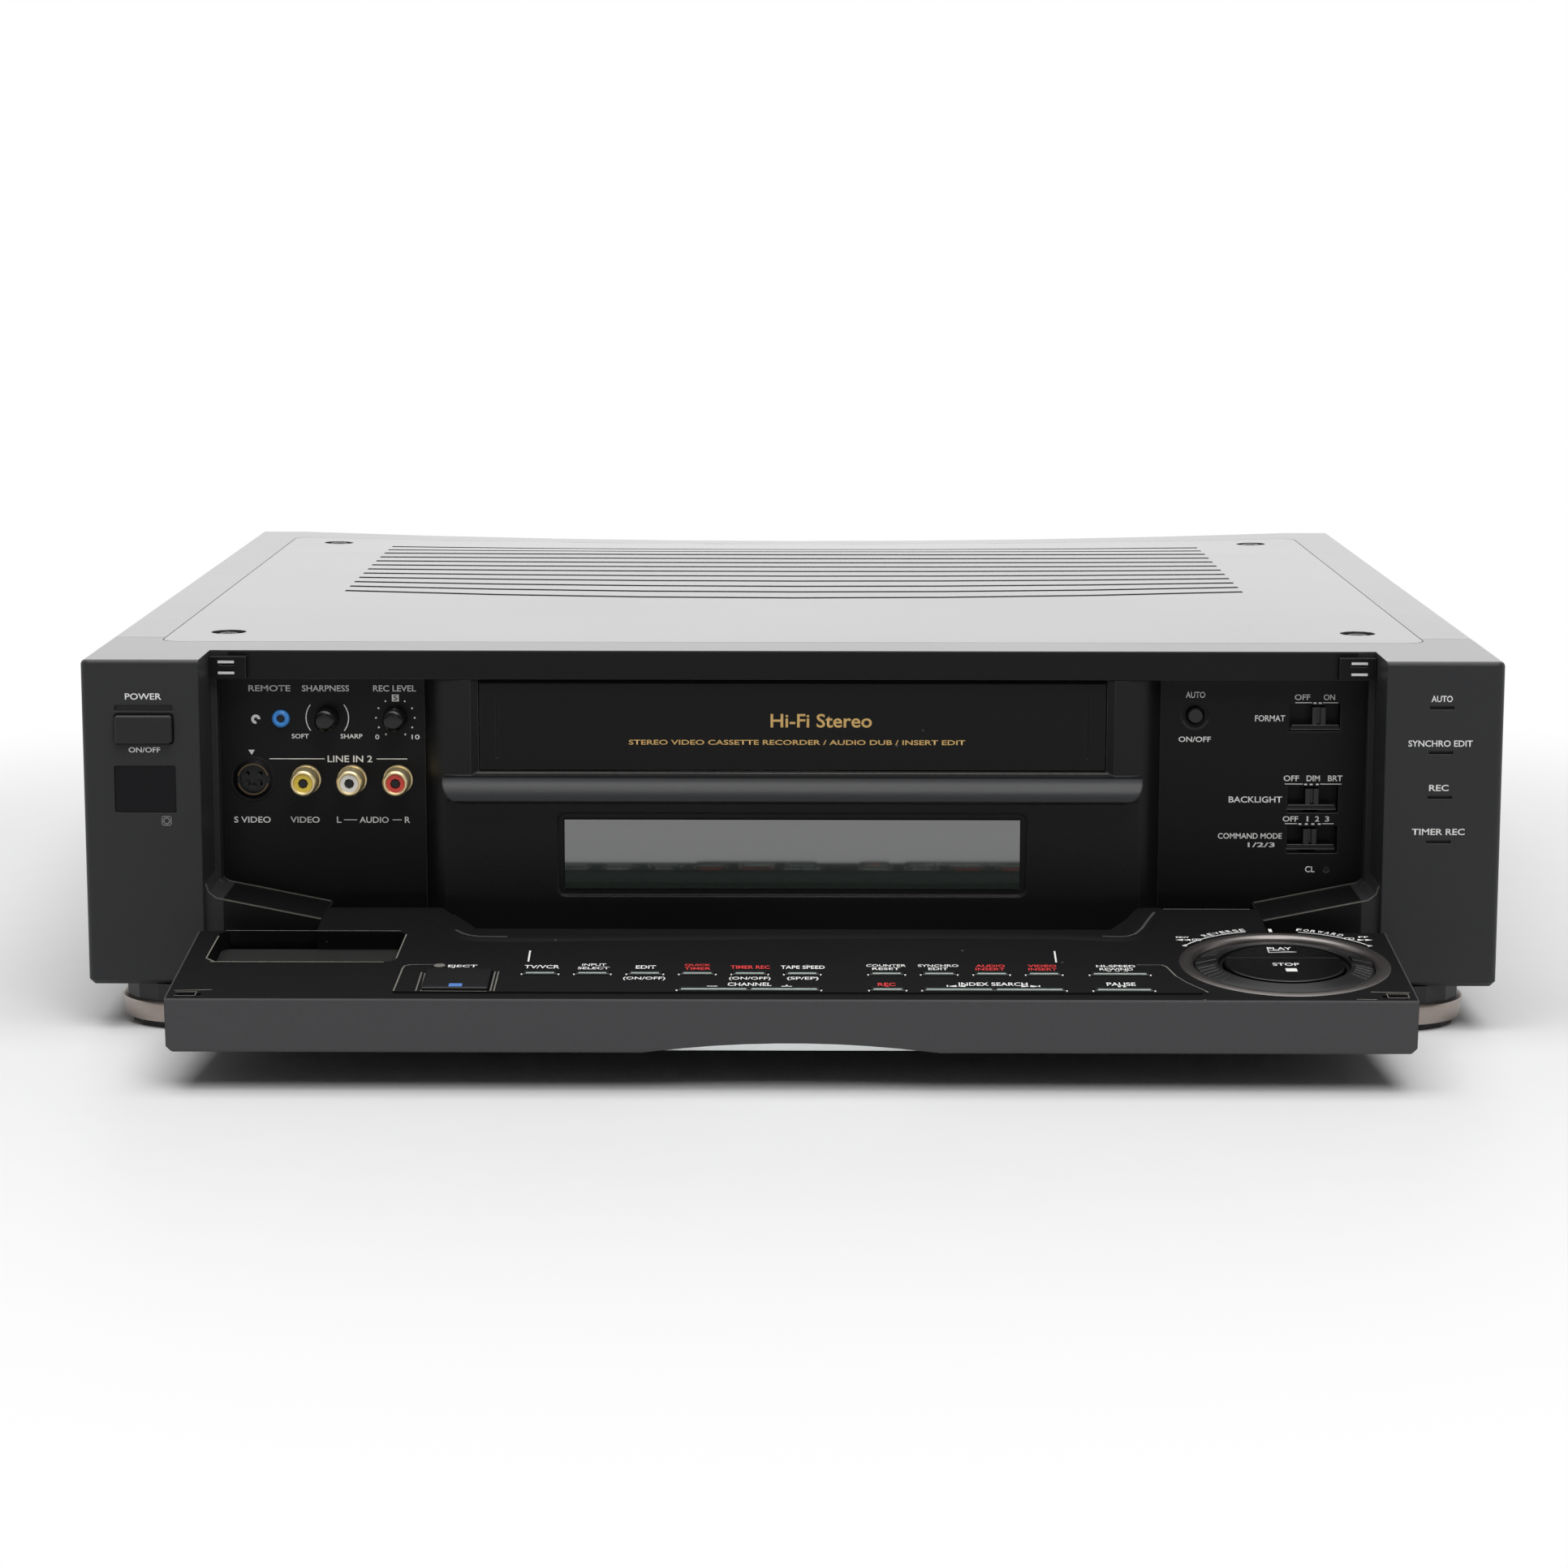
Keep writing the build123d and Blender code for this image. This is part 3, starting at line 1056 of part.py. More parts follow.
def key_block(x, front, width, depth, gap, low, high):
    """Block at a key's place, grown by a gap, between two heights over the inner face."""
    plane = inner_plane(x, front - depth / 2)
    return extrude(plane.offset(low) * Rectangle(width + 2 * gap, depth + 2 * gap), high - low)


def key(x, front, width, depth=KEY_DEPTH, proud=ROW_PROUD):
    """Key whose top stands proud of the panel, free to be pressed into its well."""
    top = KEY_PANEL_PROUD + proud
    body = key_block(x, front, width, depth, 0, top - KEY_BODY, top)
    return chamfer(body.faces().sort_by(Axis.Y)[-1].edges(), 0.3)


def half_disk(radius, side, gap):
    """Part of the key disk on one side of the chord that splits it, in the dial's plane."""
    span = Rectangle(3 * radius, 2 * radius)
    middle = KEY_SPLIT + side * (radius + gap)
    return RegularPolygon(radius, DIAL_SIDES) & (Pos(0, middle) * span)


def play_key(gap, low, high):
    """Upper key of the disk, towards the hinge."""
    plane = inner_plane(DIAL_X, DIAL_RISE)
    return extrude(plane.offset(low) * half_disk(KEY_DISK_RADIUS + gap, 1, SEAT_GAP - gap), high - low)


def stop_key(gap, low, high):
    """Lower and larger key of the disk."""
    plane = inner_plane(DIAL_X, DIAL_RISE)
    return extrude(plane.offset(low) * half_disk(KEY_DISK_RADIUS + gap, -1, SEAT_GAP - gap), high - low)


def dial_corners(radius, height):
    """Corners of a many-sided outline round the dial's axis."""
    plane = inner_plane(DIAL_X, DIAL_RISE)
    turns = [2 * pi * side / DIAL_SIDES for side in range(DIAL_SIDES)]
    return [plane.from_local_coords(Vector(radius * cos(t), radius * sin(t), height)) for t in turns]


def dial_disk(radius, low, high, top_radius=None):
    """Many-sided disk on the dial's axis, straight or tapered, between two heights over the face."""
    lower = dial_corners(radius, low)
    upper = dial_corners(top_radius or radius, high)
    sides = [[lower[i - 1], lower[i], upper[i], upper[i - 1]] for i in range(DIAL_SIDES)]
    faces = [Face(Wire.make_polygon(outline)) for outline in [lower, upper] + sides]
    return Solid(Shell(faces))


def dial_bezel():
    """Bright bevelled ring round the dial, dished towards its opening."""
    ring = dial_disk(DIAL_RADIUS - 1.5 - SEAT_GAP, -DIAL_SINK, 0.5)
    ring += dial_disk(DIAL_RADIUS, 0.05, 0.8)
    ring += dial_disk(DIAL_RADIUS, 0.8, DIAL_HEIGHT, DIAL_RADIUS - DIAL_BEVEL)
    dish = dial_disk(DIAL_OPENING_RADIUS, DIAL_HEIGHT - DIAL_DISH, DIAL_HEIGHT, DIAL_RADIUS - DIAL_BEVEL)
    return ring - dish - dial_disk(DIAL_OPENING_RADIUS, -DIAL_SINK - 1, DIAL_HEIGHT)


def shuttle_ring():
    """Sprung shuttle ring, rising towards the keys, with two ribbed grips."""
    outer = DIAL_OPENING_RADIUS - SHUTTLE_GAP
    inner = SHUTTLE_HUB_RADIUS + 2 * RUNNING_GAP
    ring = dial_disk(outer, -DIAL_SINK + SEAT_GAP, -SHUTTLE_EDGE_DROP)
    ring += dial_disk(outer, -SHUTTLE_EDGE_DROP, SHUTTLE_CROWN, inner)
    plane = inner_plane(DIAL_X, DIAL_RISE)
    for turn in (-SHUTTLE_GRIP_TURN, 180 - SHUTTLE_GRIP_TURN):
        sector = Polygon((0, 0), (outer, -SHUTTLE_GRIP_HALF), (outer, SHUTTLE_GRIP_HALF), align=None)
        grip = RegularPolygon(outer - 0.6, DIAL_SIDES) & (Rot(0, 0, turn) * sector)
        ring += extrude(plane.offset(-SHUTTLE_EDGE_DROP) * grip, SHUTTLE_EDGE_DROP + SHUTTLE_CROWN + 0.4)
    return ring - dial_disk(inner, -DIAL_SINK - 1, SHUTTLE_CROWN + 3)


# ------------------------------------------------------------------ deck mechanism
def deck_plate():
    """Steel deck on four posts, with the lift's side brackets, bearings and the fixed lower drum."""
    half = BRACKET_INNER + SHEET
    plate = box((-half, half), (DECK_FRONT, DECK_BACK), (DECK_Z, DECK_TOP))
    for x in (-half + 8, half - 8):
        for y in (DECK_FRONT + 14, DECK_BACK - 10):
            plate += peg_z(POST_RADIUS, x, y, (CHASSIS_TOP, DECK_Z), 8)
    side = box((BRACKET_INNER, half), (BASKET_FRONT, BASKET_BACK + BASKET_IN), (DECK_Z, bracket_top()))
    for y in pin_places():
        side -= guide_slot_y(y, BASKET_IN, carriage_pin_z(), (BRACKET_INNER - 1, half + 1))
    plate += mirrored(side)
    for x in (-REEL_SPACING / 2, REEL_SPACING / 2):
        plate += peg_z(REEL_SHAFT_RADIUS + 3, x, REEL_Y, (DECK_TOP, DECK_TOP + REEL_BEARING_HEIGHT), 10)
        bore = (DECK_Z - 1, DECK_TOP + REEL_BEARING_HEIGHT + 1)
        plate -= rod_z(REEL_SHAFT_RADIUS + RUNNING_GAP, x, REEL_Y, bore)
    plate += peg_z(CAPSTAN_RADIUS + 3, CAPSTAN_X, CAPSTAN_Y, (DECK_TOP, DECK_TOP + 10), 10)
    plate -= rod_z(CAPSTAN_RADIUS + RUNNING_GAP, CAPSTAN_X, CAPSTAN_Y, (DECK_Z - 1, DECK_TOP + 11))
    plate += rod_z(PINCH_POST_RADIUS, *pinch_pivot(), (DECK_TOP - 0.5, DECK_TOP + 16))
    lower_drum = drum_disk(DRUM_RADIUS, -2 * DRUM_SHAFT_RADIUS, DRUM_BASE_HEIGHT, DRUM_SIDES)
    plate += lower_drum & box((-HALF, HALF), (0, CASE_DEPTH), (DECK_TOP - DECK_SHEET / 2, TOP_Z))
    plate -= drum_disk(DRUM_SHAFT_RADIUS + RUNNING_GAP, 2.0, DRUM_BASE_HEIGHT + 1, ROD_SIDES)
    return plate


def drum_disk(radius, low, high, sides):
    """Disk on the drum's tilted axis between two distances along it from the deck."""
    lean = radians(DRUM_TILT)
    axis = Vector(0, -sin(lean), cos(lean))
    plane = Plane(Vector(0, DRUM_Y, DECK_TOP) + axis * low, x_dir=(1, 0, 0), z_dir=axis)
    return extrude(plane * RegularPolygon(radius, sides), high - low)


def bracket_top():
    return carriage_pin_z() + GUIDE_PIN_RADIUS + 4


def carriage_pin_z():
    return STRIP_BOTTOM - 3.0


def basket_pin_z():
    return carriage_pin_z() - 2 * GUIDE_PIN_RADIUS - 4.0


def pin_places():
    middle = (BASKET_FRONT + BASKET_BACK) / 2
    return (middle - GUIDE_PIN_SPACING / 2, middle + GUIDE_PIN_SPACING / 2)


def guide_slot_y(y, travel, z, x):
    """Level slot that starts at a pin and runs to the rear."""
    reach = GUIDE_PIN_RADIUS + SLIDE_GAP
    return box(x, (y - reach, y + travel + reach), (z - reach, z + reach))


def guide_slot_z(y, travel, z, x):
    """Upright slot that starts at a pin and runs down."""
    reach = GUIDE_PIN_RADIUS + SLIDE_GAP
    return box(x, (y - reach, y + reach), (z - travel - reach, z + reach))


def lift_carriage():
    """Carriage that runs to the rear with the cassette basket between its sides."""
    outer = CARRIAGE_INNER + CARRIAGE_SHEET
    front, back = pin_places()
    low = basket_pin_z() - BASKET_DOWN - GUIDE_PIN_RADIUS - 4
    high = carriage_pin_z() + GUIDE_PIN_RADIUS + 1.5
    side = box((CARRIAGE_INNER, outer), (front - 8, back + 8), (low, high))
    for y in (front, back):
        side -= guide_slot_z(y, BASKET_DOWN, basket_pin_z(), (CARRIAGE_INNER - 1, outer + 1))
        side += peg_x(GUIDE_PIN_RADIUS, (outer - 0.5, BRACKET_INNER + SHEET), y, carriage_pin_z())
    frame = mirrored(side)
    frame += box((-outer, outer), (back + 2, back + 8), (high - 1.5, high))
    return frame


def cassette_basket():
    """Open-fronted basket that the cassette slides into, with holes for the reel drives."""
    low = BASKET_FLOOR
    high = low + 2 * BASKET_SHEET + TAPE_HEIGHT + 0.4
    half = BASKET_HALF
    wall = BASKET_SHEET
    rail = 9.0
    outline = [(-half, low), (half, low), (half, high), (half - rail, high), (half - rail, high - wall),
               (half - wall, high - wall), (half - wall, low + wall), (-half + wall, low + wall),
               (-half + wall, high - wall), (-half + rail, high - wall), (-half + rail, high), (-half, high)]
    basket = prism_y(outline, (BASKET_FRONT, BASKET_BACK))
    for x in (-REEL_SPACING / 2, REEL_SPACING / 2):
        basket -= peg_z(REEL_HOLE_RADIUS, x, REEL_Y - BASKET_IN, (low - 1, low + wall + 1), 16)
    for y in pin_places():
        pin = (half - 0.5, CARRIAGE_INNER + CARRIAGE_SHEET - 0.2)
        basket += mirrored(peg_x(GUIDE_PIN_RADIUS, pin, y, basket_pin_z()))
    return basket


def reel(x):
    """Reel drive: geared table, splined spindle and shaft in the deck's bearing."""
    base = DECK_TOP + REEL_BEARING_HEIGHT + DRUM_GAP
    hub_top = base + 2 * REEL_TABLE_SHEET
    shape = peg_z(REEL_TABLE_RADIUS, x, REEL_Y, (base, base + REEL_TABLE_SHEET), 20)
    shape += peg_z(REEL_HUB_RADIUS, x, REEL_Y, (base + REEL_TABLE_SHEET, hub_top), 8)
    shape += peg_z(REEL_SPINDLE_RADIUS, x, REEL_Y, (hub_top, hub_top + REEL_SPINDLE_HEIGHT), 9)
    shape += rod_z(REEL_SHAFT_RADIUS, x, REEL_Y, (DECK_Z, base + REEL_TABLE_SHEET / 2))
    half = REEL_BLADE_SHEET / 2
    blade = box((REEL_SPINDLE_RADIUS / 2, REEL_BLADE_REACH), (-half, half),
                (hub_top, hub_top + REEL_BLADE_HEIGHT))
    for turn in (0, 120, 240):
        shape += Pos(x, REEL_Y, 0) * Rot(0, 0, turn) * blade
    return shape


def head_drum():
    """Rotating upper drum on its shaft, dished on top."""
    low = DRUM_BASE_HEIGHT + DRUM_GAP
    drum = drum_disk(DRUM_RADIUS, low, low + DRUM_HEIGHT, DRUM_SIDES)
    drum -= drum_disk(DRUM_RADIUS * 0.7, low + DRUM_HEIGHT - 4, low + DRUM_HEIGHT + 1, 24)
    drum += drum_disk(DRUM_RADIUS * 0.3, low + DRUM_HEIGHT - 5, low + DRUM_HEIGHT - 1, 12)
    return drum + drum_disk(DRUM_SHAFT_RADIUS, 2.5, low + 1, ROD_SIDES)


def capstan():
    """Capstan shaft with its flywheel under the deck."""
    low = DECK_Z - FLYWHEEL_SHEET - 3
    shaft = rod_z(CAPSTAN_RADIUS, CAPSTAN_X, CAPSTAN_Y, (low - 1, low - 1 + CAPSTAN_LENGTH))
    wheel = peg_z(FLYWHEEL_RADIUS, CAPSTAN_X, CAPSTAN_Y, (low, low + FLYWHEEL_SHEET), 20)
    return shaft + wheel


def pinch_pivot():
    """Pivot of the pinch arm: at full swing the roller stands behind the capstan."""
    return CAPSTAN_X + PINCH_ARM_LENGTH, CAPSTAN_Y + pinch_contact()


def pinch_contact():
    return CAPSTAN_RADIUS + PINCH_ROLLER_RADIUS + SLIDE_GAP


def pinch_rest():
    """Roller centre with the arm swung away."""
    x, y = pinch_pivot()
    turn = radians(180 - PINCH_SWING)
    return x + PINCH_ARM_LENGTH * cos(turn), y + PINCH_ARM_LENGTH * sin(turn)


def pinch_arm():
    x, y = pinch_pivot()
    roller_x, roller_y = pinch_rest()
    low = DECK_TOP + 12
    turn = 180 - PINCH_SWING
    bar = Pos(x, y, 0) * Rot(0, 0, turn) * box((0, PINCH_ARM_LENGTH), (-3, 3), (low, low + 2))
    arm = bar + peg_z(5.0, x, y, (DECK_TOP + SEAT_GAP, low + 2))
    arm += peg_z(4.0, roller_x, roller_y, (low, low + 2))
    arm -= rod_z(PINCH_POST_RADIUS + RUNNING_GAP, x, y, (DECK_TOP - 1, low + 3))
    return arm + rod_z(PINCH_PIN_RADIUS, roller_x, roller_y, (low + 1, low + 2 + PINCH_ROLLER_HEIGHT))


def pinch_roller():
    x, y = pinch_rest()
    low = DECK_TOP + 14 + SEAT_GAP
    roller = peg_z(PINCH_ROLLER_RADIUS, x, y, (low, low + PINCH_ROLLER_HEIGHT - 1), 20)
    return roller - rod_z(PINCH_PIN_RADIUS + RUNNING_GAP, x, y, (low - 1, low + PINCH_ROLLER_HEIGHT))


# ------------------------------------------------------------------ boards and supply
def bare_board(x0, x1, front):
    """Circuit board on four feet between two sides, from its front edge to the common back."""
    top = CHASSIS_TOP + BOARD_RISE + SHEET
    board = box((x0, x1), (front, BOARD_BACK), (top - SHEET, top))
    for x in (x0 + BOARD_FOOT_INSET, x1 - BOARD_FOOT_INSET):
        for y in (front + BOARD_FOOT_INSET, BOARD_BACK - BOARD_FOOT_INSET):
            board += peg_z(BOARD_FOOT_RADIUS, x, y, (CHASSIS_TOP, top - SHEET), 6)
    return board, top


def main_board():
    """Main circuit board with its tuner can, heat sink and larger components."""
    x0 = BRACKET_INNER + SHEET + BOARD_CLEARANCE
    x1 = HALF - SHEET - BOARD_WALL_GAP
    board, top = bare_board(x0, x1, BOARD_FRONT)
    tuner = x0 + TUNER_INSET
    board += box((tuner, tuner + TUNER_WIDTH),
                 (BOARD_BACK - BOARD_FOOT_INSET - TUNER_DEPTH, BOARD_BACK - BOARD_FOOT_INSET),
                 (top, top + TUNER_HEIGHT))
    sink = (x1 - SINK_INSET - SINK_WIDTH, x1 - SINK_INSET)
    for index in range(SINK_FINS):
        y = SINK_FRONT + index * SINK_PITCH
        board += box(sink, (y, y + SINK_PITCH / 3), (top, top + SINK_HEIGHT))
    board += box(sink, (SINK_FRONT, SINK_FRONT + SINK_FINS * SINK_PITCH), (top, top + SINK_HEIGHT / 8))
    for index in range(5):
        y = CHIP_FRONT + index * CHIP_PITCH
        board += box((tuner, tuner + CHIP_WIDTH), (y, y + CHIP_DEPTH), (top, top + CHIP_HEIGHT))
        board += peg_z(CAN_RADIUS, sink[0] + SINK_WIDTH / 2, y + CHIP_DEPTH / 2, (top, top + CAN_HEIGHT), 8)
    return board


def power_supply():
    """Mains supply: board, transformer core and coil, reservoir capacitors."""
    x0 = -HALF + SHEET + BOARD_WALL_GAP
    x1 = -BRACKET_INNER - SHEET - BOARD_CLEARANCE
    supply, top = bare_board(x0, x1, SUPPLY_FRONT)
    middle = (x0 + x1) / 2
    core = (CORE_FRONT, CORE_FRONT + CORE_DEPTH)
    supply += box((middle - CORE_WIDTH / 2, middle + CORE_WIDTH / 2), core, (top, top + CORE_HEIGHT))
    supply += box((middle - COIL_WIDTH / 2, middle + COIL_WIDTH / 2),
                  (core[0] - COIL_STANDOUT, core[1] + COIL_STANDOUT),
                  (top + COIL_CLEAR, top + CORE_HEIGHT - COIL_CLEAR))
    for index in (-1, 0, 1):
        x = middle + index * RESERVOIR_PITCH
        supply += peg_z(RESERVOIR_RADIUS, x, (SUPPLY_FRONT + CORE_FRONT) / 2, (top, top + RESERVOIR_HEIGHT))
    return supply


# ------------------------------------------------------------------ rear
def rear_top():
    return TOP_Z - PLATE_THICKNESS - SAG - SHEET - SEAT_GAP


def rear_panel():
    """Steel rear panel with the windows for its sockets and ventilation slots."""
    half = HALF - SHEET - SEAT_GAP
    panel = box((-half, half), (REAR_PANEL_Y, REAR_PANEL_Y + SHEET), (BOTTOM_Z, rear_top()))
    back = (REAR_PANEL_Y - 1, REAR_PANEL_Y + SHEET + 1)
    x, z = jack_block_middle()
    width, height = jack_block_size(SEAT_GAP)
    panel -= prism_y(Pos(x, z) * Rectangle(width, height), back)
    inlet = cut_corners(inlet_width(SEAT_GAP), inlet_height(SEAT_GAP), INLET_CORNER)
    panel -= prism_y(Pos(INLET_X, BOTTOM_Z + INLET_RISE) * inlet, back)
    for index in range(REAR_SLOTS):
        x = REAR_SLOT_X + index * REAR_SLOT_PITCH
        panel -= box((x - REAR_SLOT_WIDTH / 2, x + REAR_SLOT_WIDTH / 2), back,
                     (TOP_Z - REAR_SLOT_DROP - REAR_SLOT_HEIGHT, TOP_Z - REAR_SLOT_DROP))
    return panel


def jack_places():
    """Coaxial jacks in two rows of four."""
    rows = (BOTTOM_Z + JACK_RISE, BOTTOM_Z + JACK_RISE + JACK_PITCH)
    return [(JACK_X + column * JACK_PITCH, z) for column in range(JACK_COLUMNS) for z in rows]


def jack_block_middle():
    return JACK_X + (JACK_COLUMNS - 1) * JACK_PITCH / 2, BOTTOM_Z + JACK_RISE + JACK_PITCH / 2


def jack_block_size(gap):
    return JACK_COLUMNS * JACK_PITCH + 2 * gap, 2 * JACK_PITCH + 2 * gap


def rear_jacks():
    """Coaxial jacks on a moulded block that fills its window in the rear panel."""
    x, z = jack_block_middle()
    width, height = jack_block_size(0)
    block = prism_y(Pos(x, z) * Rectangle(width, height), (REAR_PANEL_Y - 2, REAR_PANEL_Y + SHEET))
    flange = Rectangle(width + 2 * JACK_FLANGE, height + 2 * JACK_FLANGE)
    block += prism_y(Pos(x, z) * flange, (REAR_PANEL_Y - JACK_DEPTH - 2, REAR_PANEL_Y - SEAT_GAP))
    for x, z in jack_places():
        block += peg_y(RCA_RADIUS, x, (REAR_PANEL_Y + SHEET - 1, CASE_DEPTH - 1), z, 8)
    for x, z in jack_places():
        block -= peg_y(RCA_BORE, x, (REAR_PANEL_Y, CASE_DEPTH), z, 6)
    return block


def inlet_width(gap):
    return INLET_WIDTH + 2 * INLET_WALL + 2 * gap


def inlet_height(gap):
    return INLET_HEIGHT + 2 * INLET_WALL + 2 * gap


def mains_inlet():
    """Figure-eight mains inlet with two pins in its well."""
    z = BOTTOM_Z + INLET_RISE
    back = REAR_PANEL_Y + SHEET
    outer = cut_corners(inlet_width(0), inlet_height(0), INLET_CORNER)
    well = cut_corners(INLET_WIDTH, INLET_HEIGHT, INLET_HEIGHT / 2 - 1.5)
    body = prism_y(Pos(INLET_X, z) * outer, (back - INLET_DEPTH - INLET_WALL, back + 1.5))
    rim = Rectangle(inlet_width(4), inlet_height(3))
    body += prism_y(Pos(INLET_X, z) * rim, (back + SEAT_GAP, back + 1.5))
    body -= prism_y(Pos(INLET_X, z) * well, (back - INLET_DEPTH, back + 2))
    for side in (-1, 1):
        body += peg_y(1.2, INLET_X + side * INLET_WIDTH / 4, (back - INLET_DEPTH - 1, back - 3), z, 8)
    return body


# ------------------------------------------------------------------ assembly
KEYS = {
    "source_button": (LEFT_GROUP_X, ROW_ONE_FRONT, KEY_WIDTH),
    "input_button": (LEFT_GROUP_X + KEY_PITCH, ROW_ONE_FRONT, KEY_WIDTH),
    "edit_button": (LEFT_GROUP_X + 2 * KEY_PITCH, ROW_ONE_FRONT, KEY_WIDTH),
    "quick_timer_button": (LEFT_GROUP_X + 3 * KEY_PITCH, ROW_ONE_FRONT, KEY_WIDTH),
    "timer_button": (LEFT_GROUP_X + 4 * KEY_PITCH, ROW_ONE_FRONT, KEY_WIDTH),
    "speed_button": (LEFT_GROUP_X + 5 * KEY_PITCH, ROW_ONE_FRONT, KEY_WIDTH),
    "counter_button": (RIGHT_GROUP_X, ROW_ONE_FRONT, KEY_WIDTH),
    "sync_button": (RIGHT_GROUP_X + KEY_PITCH, ROW_ONE_FRONT, KEY_WIDTH),
    "audio_insert_button": (RIGHT_GROUP_X + 2 * KEY_PITCH, ROW_ONE_FRONT, KEY_WIDTH),
    "video_insert_button": (RIGHT_GROUP_X + 3 * KEY_PITCH, ROW_ONE_FRONT, KEY_WIDTH),
    "fast_rewind_button": (WIDE_KEY_X, ROW_ONE_FRONT, WIDE_KEY_WIDTH),
    "channel_rocker": (CHANNEL_X, ROW_TWO_FRONT, ROCKER_WIDTH),
    "record_button": (RIGHT_GROUP_X, ROW_TWO_FRONT, KEY_WIDTH),
    "index_rocker": (INDEX_X, ROW_TWO_FRONT, ROCKER_WIDTH),
    "pause_button": (WIDE_KEY_X, ROW_TWO_FRONT, WIDE_KEY_WIDTH),
}
KEY_WELL = KEY_BODY - KEY_PANEL_PROUD - KEY_PROUD + KEY_TRAVEL + SEAT_GAP
ROW_WELL = KEY_WELL + KEY_PROUD - ROW_PROUD
DISK_WELL = KEY_BODY - KEY_PROUD + KEY_TRAVEL + SEAT_GAP


def main():
    for build in (front_bezel, case_cover, top_plate, case_screws, bottom_chassis, foot_cores, foot_rings,
                  cassette_surround, cassette_door, display_window, display_module, control_panels,
                  power_button, sensor_window, picture_button, rca_jacks, rca_inserts, s_video_socket,
                  control_socket, door_catches, deck_plate, lift_carriage, cassette_basket, head_drum,
                  capstan, pinch_arm, pinch_roller, main_board, power_supply, rear_panel, rear_jacks,
                  mains_inlet):
        keep(build.__name__, build())
    keep("sharpness_knob", knob(SHARPNESS_X))
    keep("level_knob", knob(LEVEL_X))
    sliders = ("format_slider", "backlight_slider", "command_slider")
    for name, rise, offset in zip(sliders, SWITCH_RISES, SLIDER_OFFSETS):
        keep(name, switch_slider(rise, offset))
    keep("supply_reel", reel(-REEL_SPACING / 2))
    keep("takeup_reel", reel(REEL_SPACING / 2))

    keep("control_flap", opened(control_flap()))
    keep("dial_bezel", opened(dial_bezel()))
    keep("shuttle_ring", opened(shuttle_ring()))
    top = KEY_PROUD
    keep("play_button", opened(play_key(0, top - KEY_BODY, top)))
    keep("stop_button", opened(stop_key(0, top - KEY_BODY, top)))
    keep("eject_button", opened(key(EJECT_X, EJECT_FRONT, EJECT_WIDTH, EJECT_DEPTH, KEY_PROUD)))
    for name, (x, front, width) in KEYS.items():
        keep(name, opened(key(x, front, width)))

    os.makedirs("parts", exist_ok=True)
    for name, shape in PARTS.items():
        export_step(shape, f"parts/{name}.step")


main()
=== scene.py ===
import bpy
import bmesh
import json
import math
from mathutils import Matrix, Vector


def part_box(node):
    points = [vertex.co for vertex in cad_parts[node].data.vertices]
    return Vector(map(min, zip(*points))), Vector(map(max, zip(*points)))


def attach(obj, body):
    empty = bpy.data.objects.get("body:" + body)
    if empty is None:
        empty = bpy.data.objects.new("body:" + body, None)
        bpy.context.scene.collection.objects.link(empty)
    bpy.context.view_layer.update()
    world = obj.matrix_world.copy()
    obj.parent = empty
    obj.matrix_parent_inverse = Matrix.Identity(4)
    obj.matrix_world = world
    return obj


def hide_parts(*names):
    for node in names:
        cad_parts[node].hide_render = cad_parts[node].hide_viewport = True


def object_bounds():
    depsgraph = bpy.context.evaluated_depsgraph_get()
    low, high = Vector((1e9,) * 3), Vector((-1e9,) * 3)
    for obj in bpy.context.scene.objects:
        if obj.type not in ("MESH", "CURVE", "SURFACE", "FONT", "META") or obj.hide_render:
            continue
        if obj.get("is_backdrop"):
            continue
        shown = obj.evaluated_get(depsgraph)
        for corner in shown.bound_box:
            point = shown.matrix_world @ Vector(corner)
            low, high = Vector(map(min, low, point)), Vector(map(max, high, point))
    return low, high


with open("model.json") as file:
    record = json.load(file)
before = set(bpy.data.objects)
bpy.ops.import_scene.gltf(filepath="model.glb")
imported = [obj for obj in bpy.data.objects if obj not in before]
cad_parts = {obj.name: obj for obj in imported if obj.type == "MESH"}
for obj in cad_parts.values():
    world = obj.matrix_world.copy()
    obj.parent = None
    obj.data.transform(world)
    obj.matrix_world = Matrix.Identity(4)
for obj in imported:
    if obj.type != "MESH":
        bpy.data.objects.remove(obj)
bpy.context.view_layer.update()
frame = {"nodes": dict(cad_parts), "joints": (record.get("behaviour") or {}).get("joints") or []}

# ------------------------------------------------------------------ places, in millimetres
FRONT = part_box("front_bezel")[0][1] * 1000
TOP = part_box("front_bezel")[1][2] * 1000
JOINTS = {joint["name"]: joint for joint in frame["joints"]}
HINGE = Vector(JOINTS["flap_hinge"]["pos_m"]) * 1000
OUT_OF_FLAP = Vector(JOINTS["shuttle_turn"]["axis"]).normalized()
TO_FREE_EDGE = Vector(JOINTS["channel_rock"]["axis"]).normalized()
DIAL = Vector(JOINTS["shuttle_turn"]["pos_m"]) * 1000
FACE_OVER_HINGE = (DIAL - HINGE).dot(OUT_OF_FLAP)
DIAL_U = (DIAL - HINGE).dot(TO_FREE_EDGE)
# distances behind the bezel's front face
PANEL_Y = 30.0
DOOR_Y = 26.0
SLOT_Y = 24.88
SLOT_SIDE_Y = 25.9
LATCH_Y = 20.8
SHELF_Y = 3.58
REAR_Y = 388.6
# how far printed marks stand off the fixed front and off the flap
INK = 0.03
FLAP_INK = 0.08


def facing_front(y):
    """Drawing plane that faces the viewer: local x, local y up, local z towards the front."""
    return Matrix(((1, 0, 0, 0), (0, 0, -1, y + FRONT), (0, 1, 0, 0), (0, 0, 0, 1)))


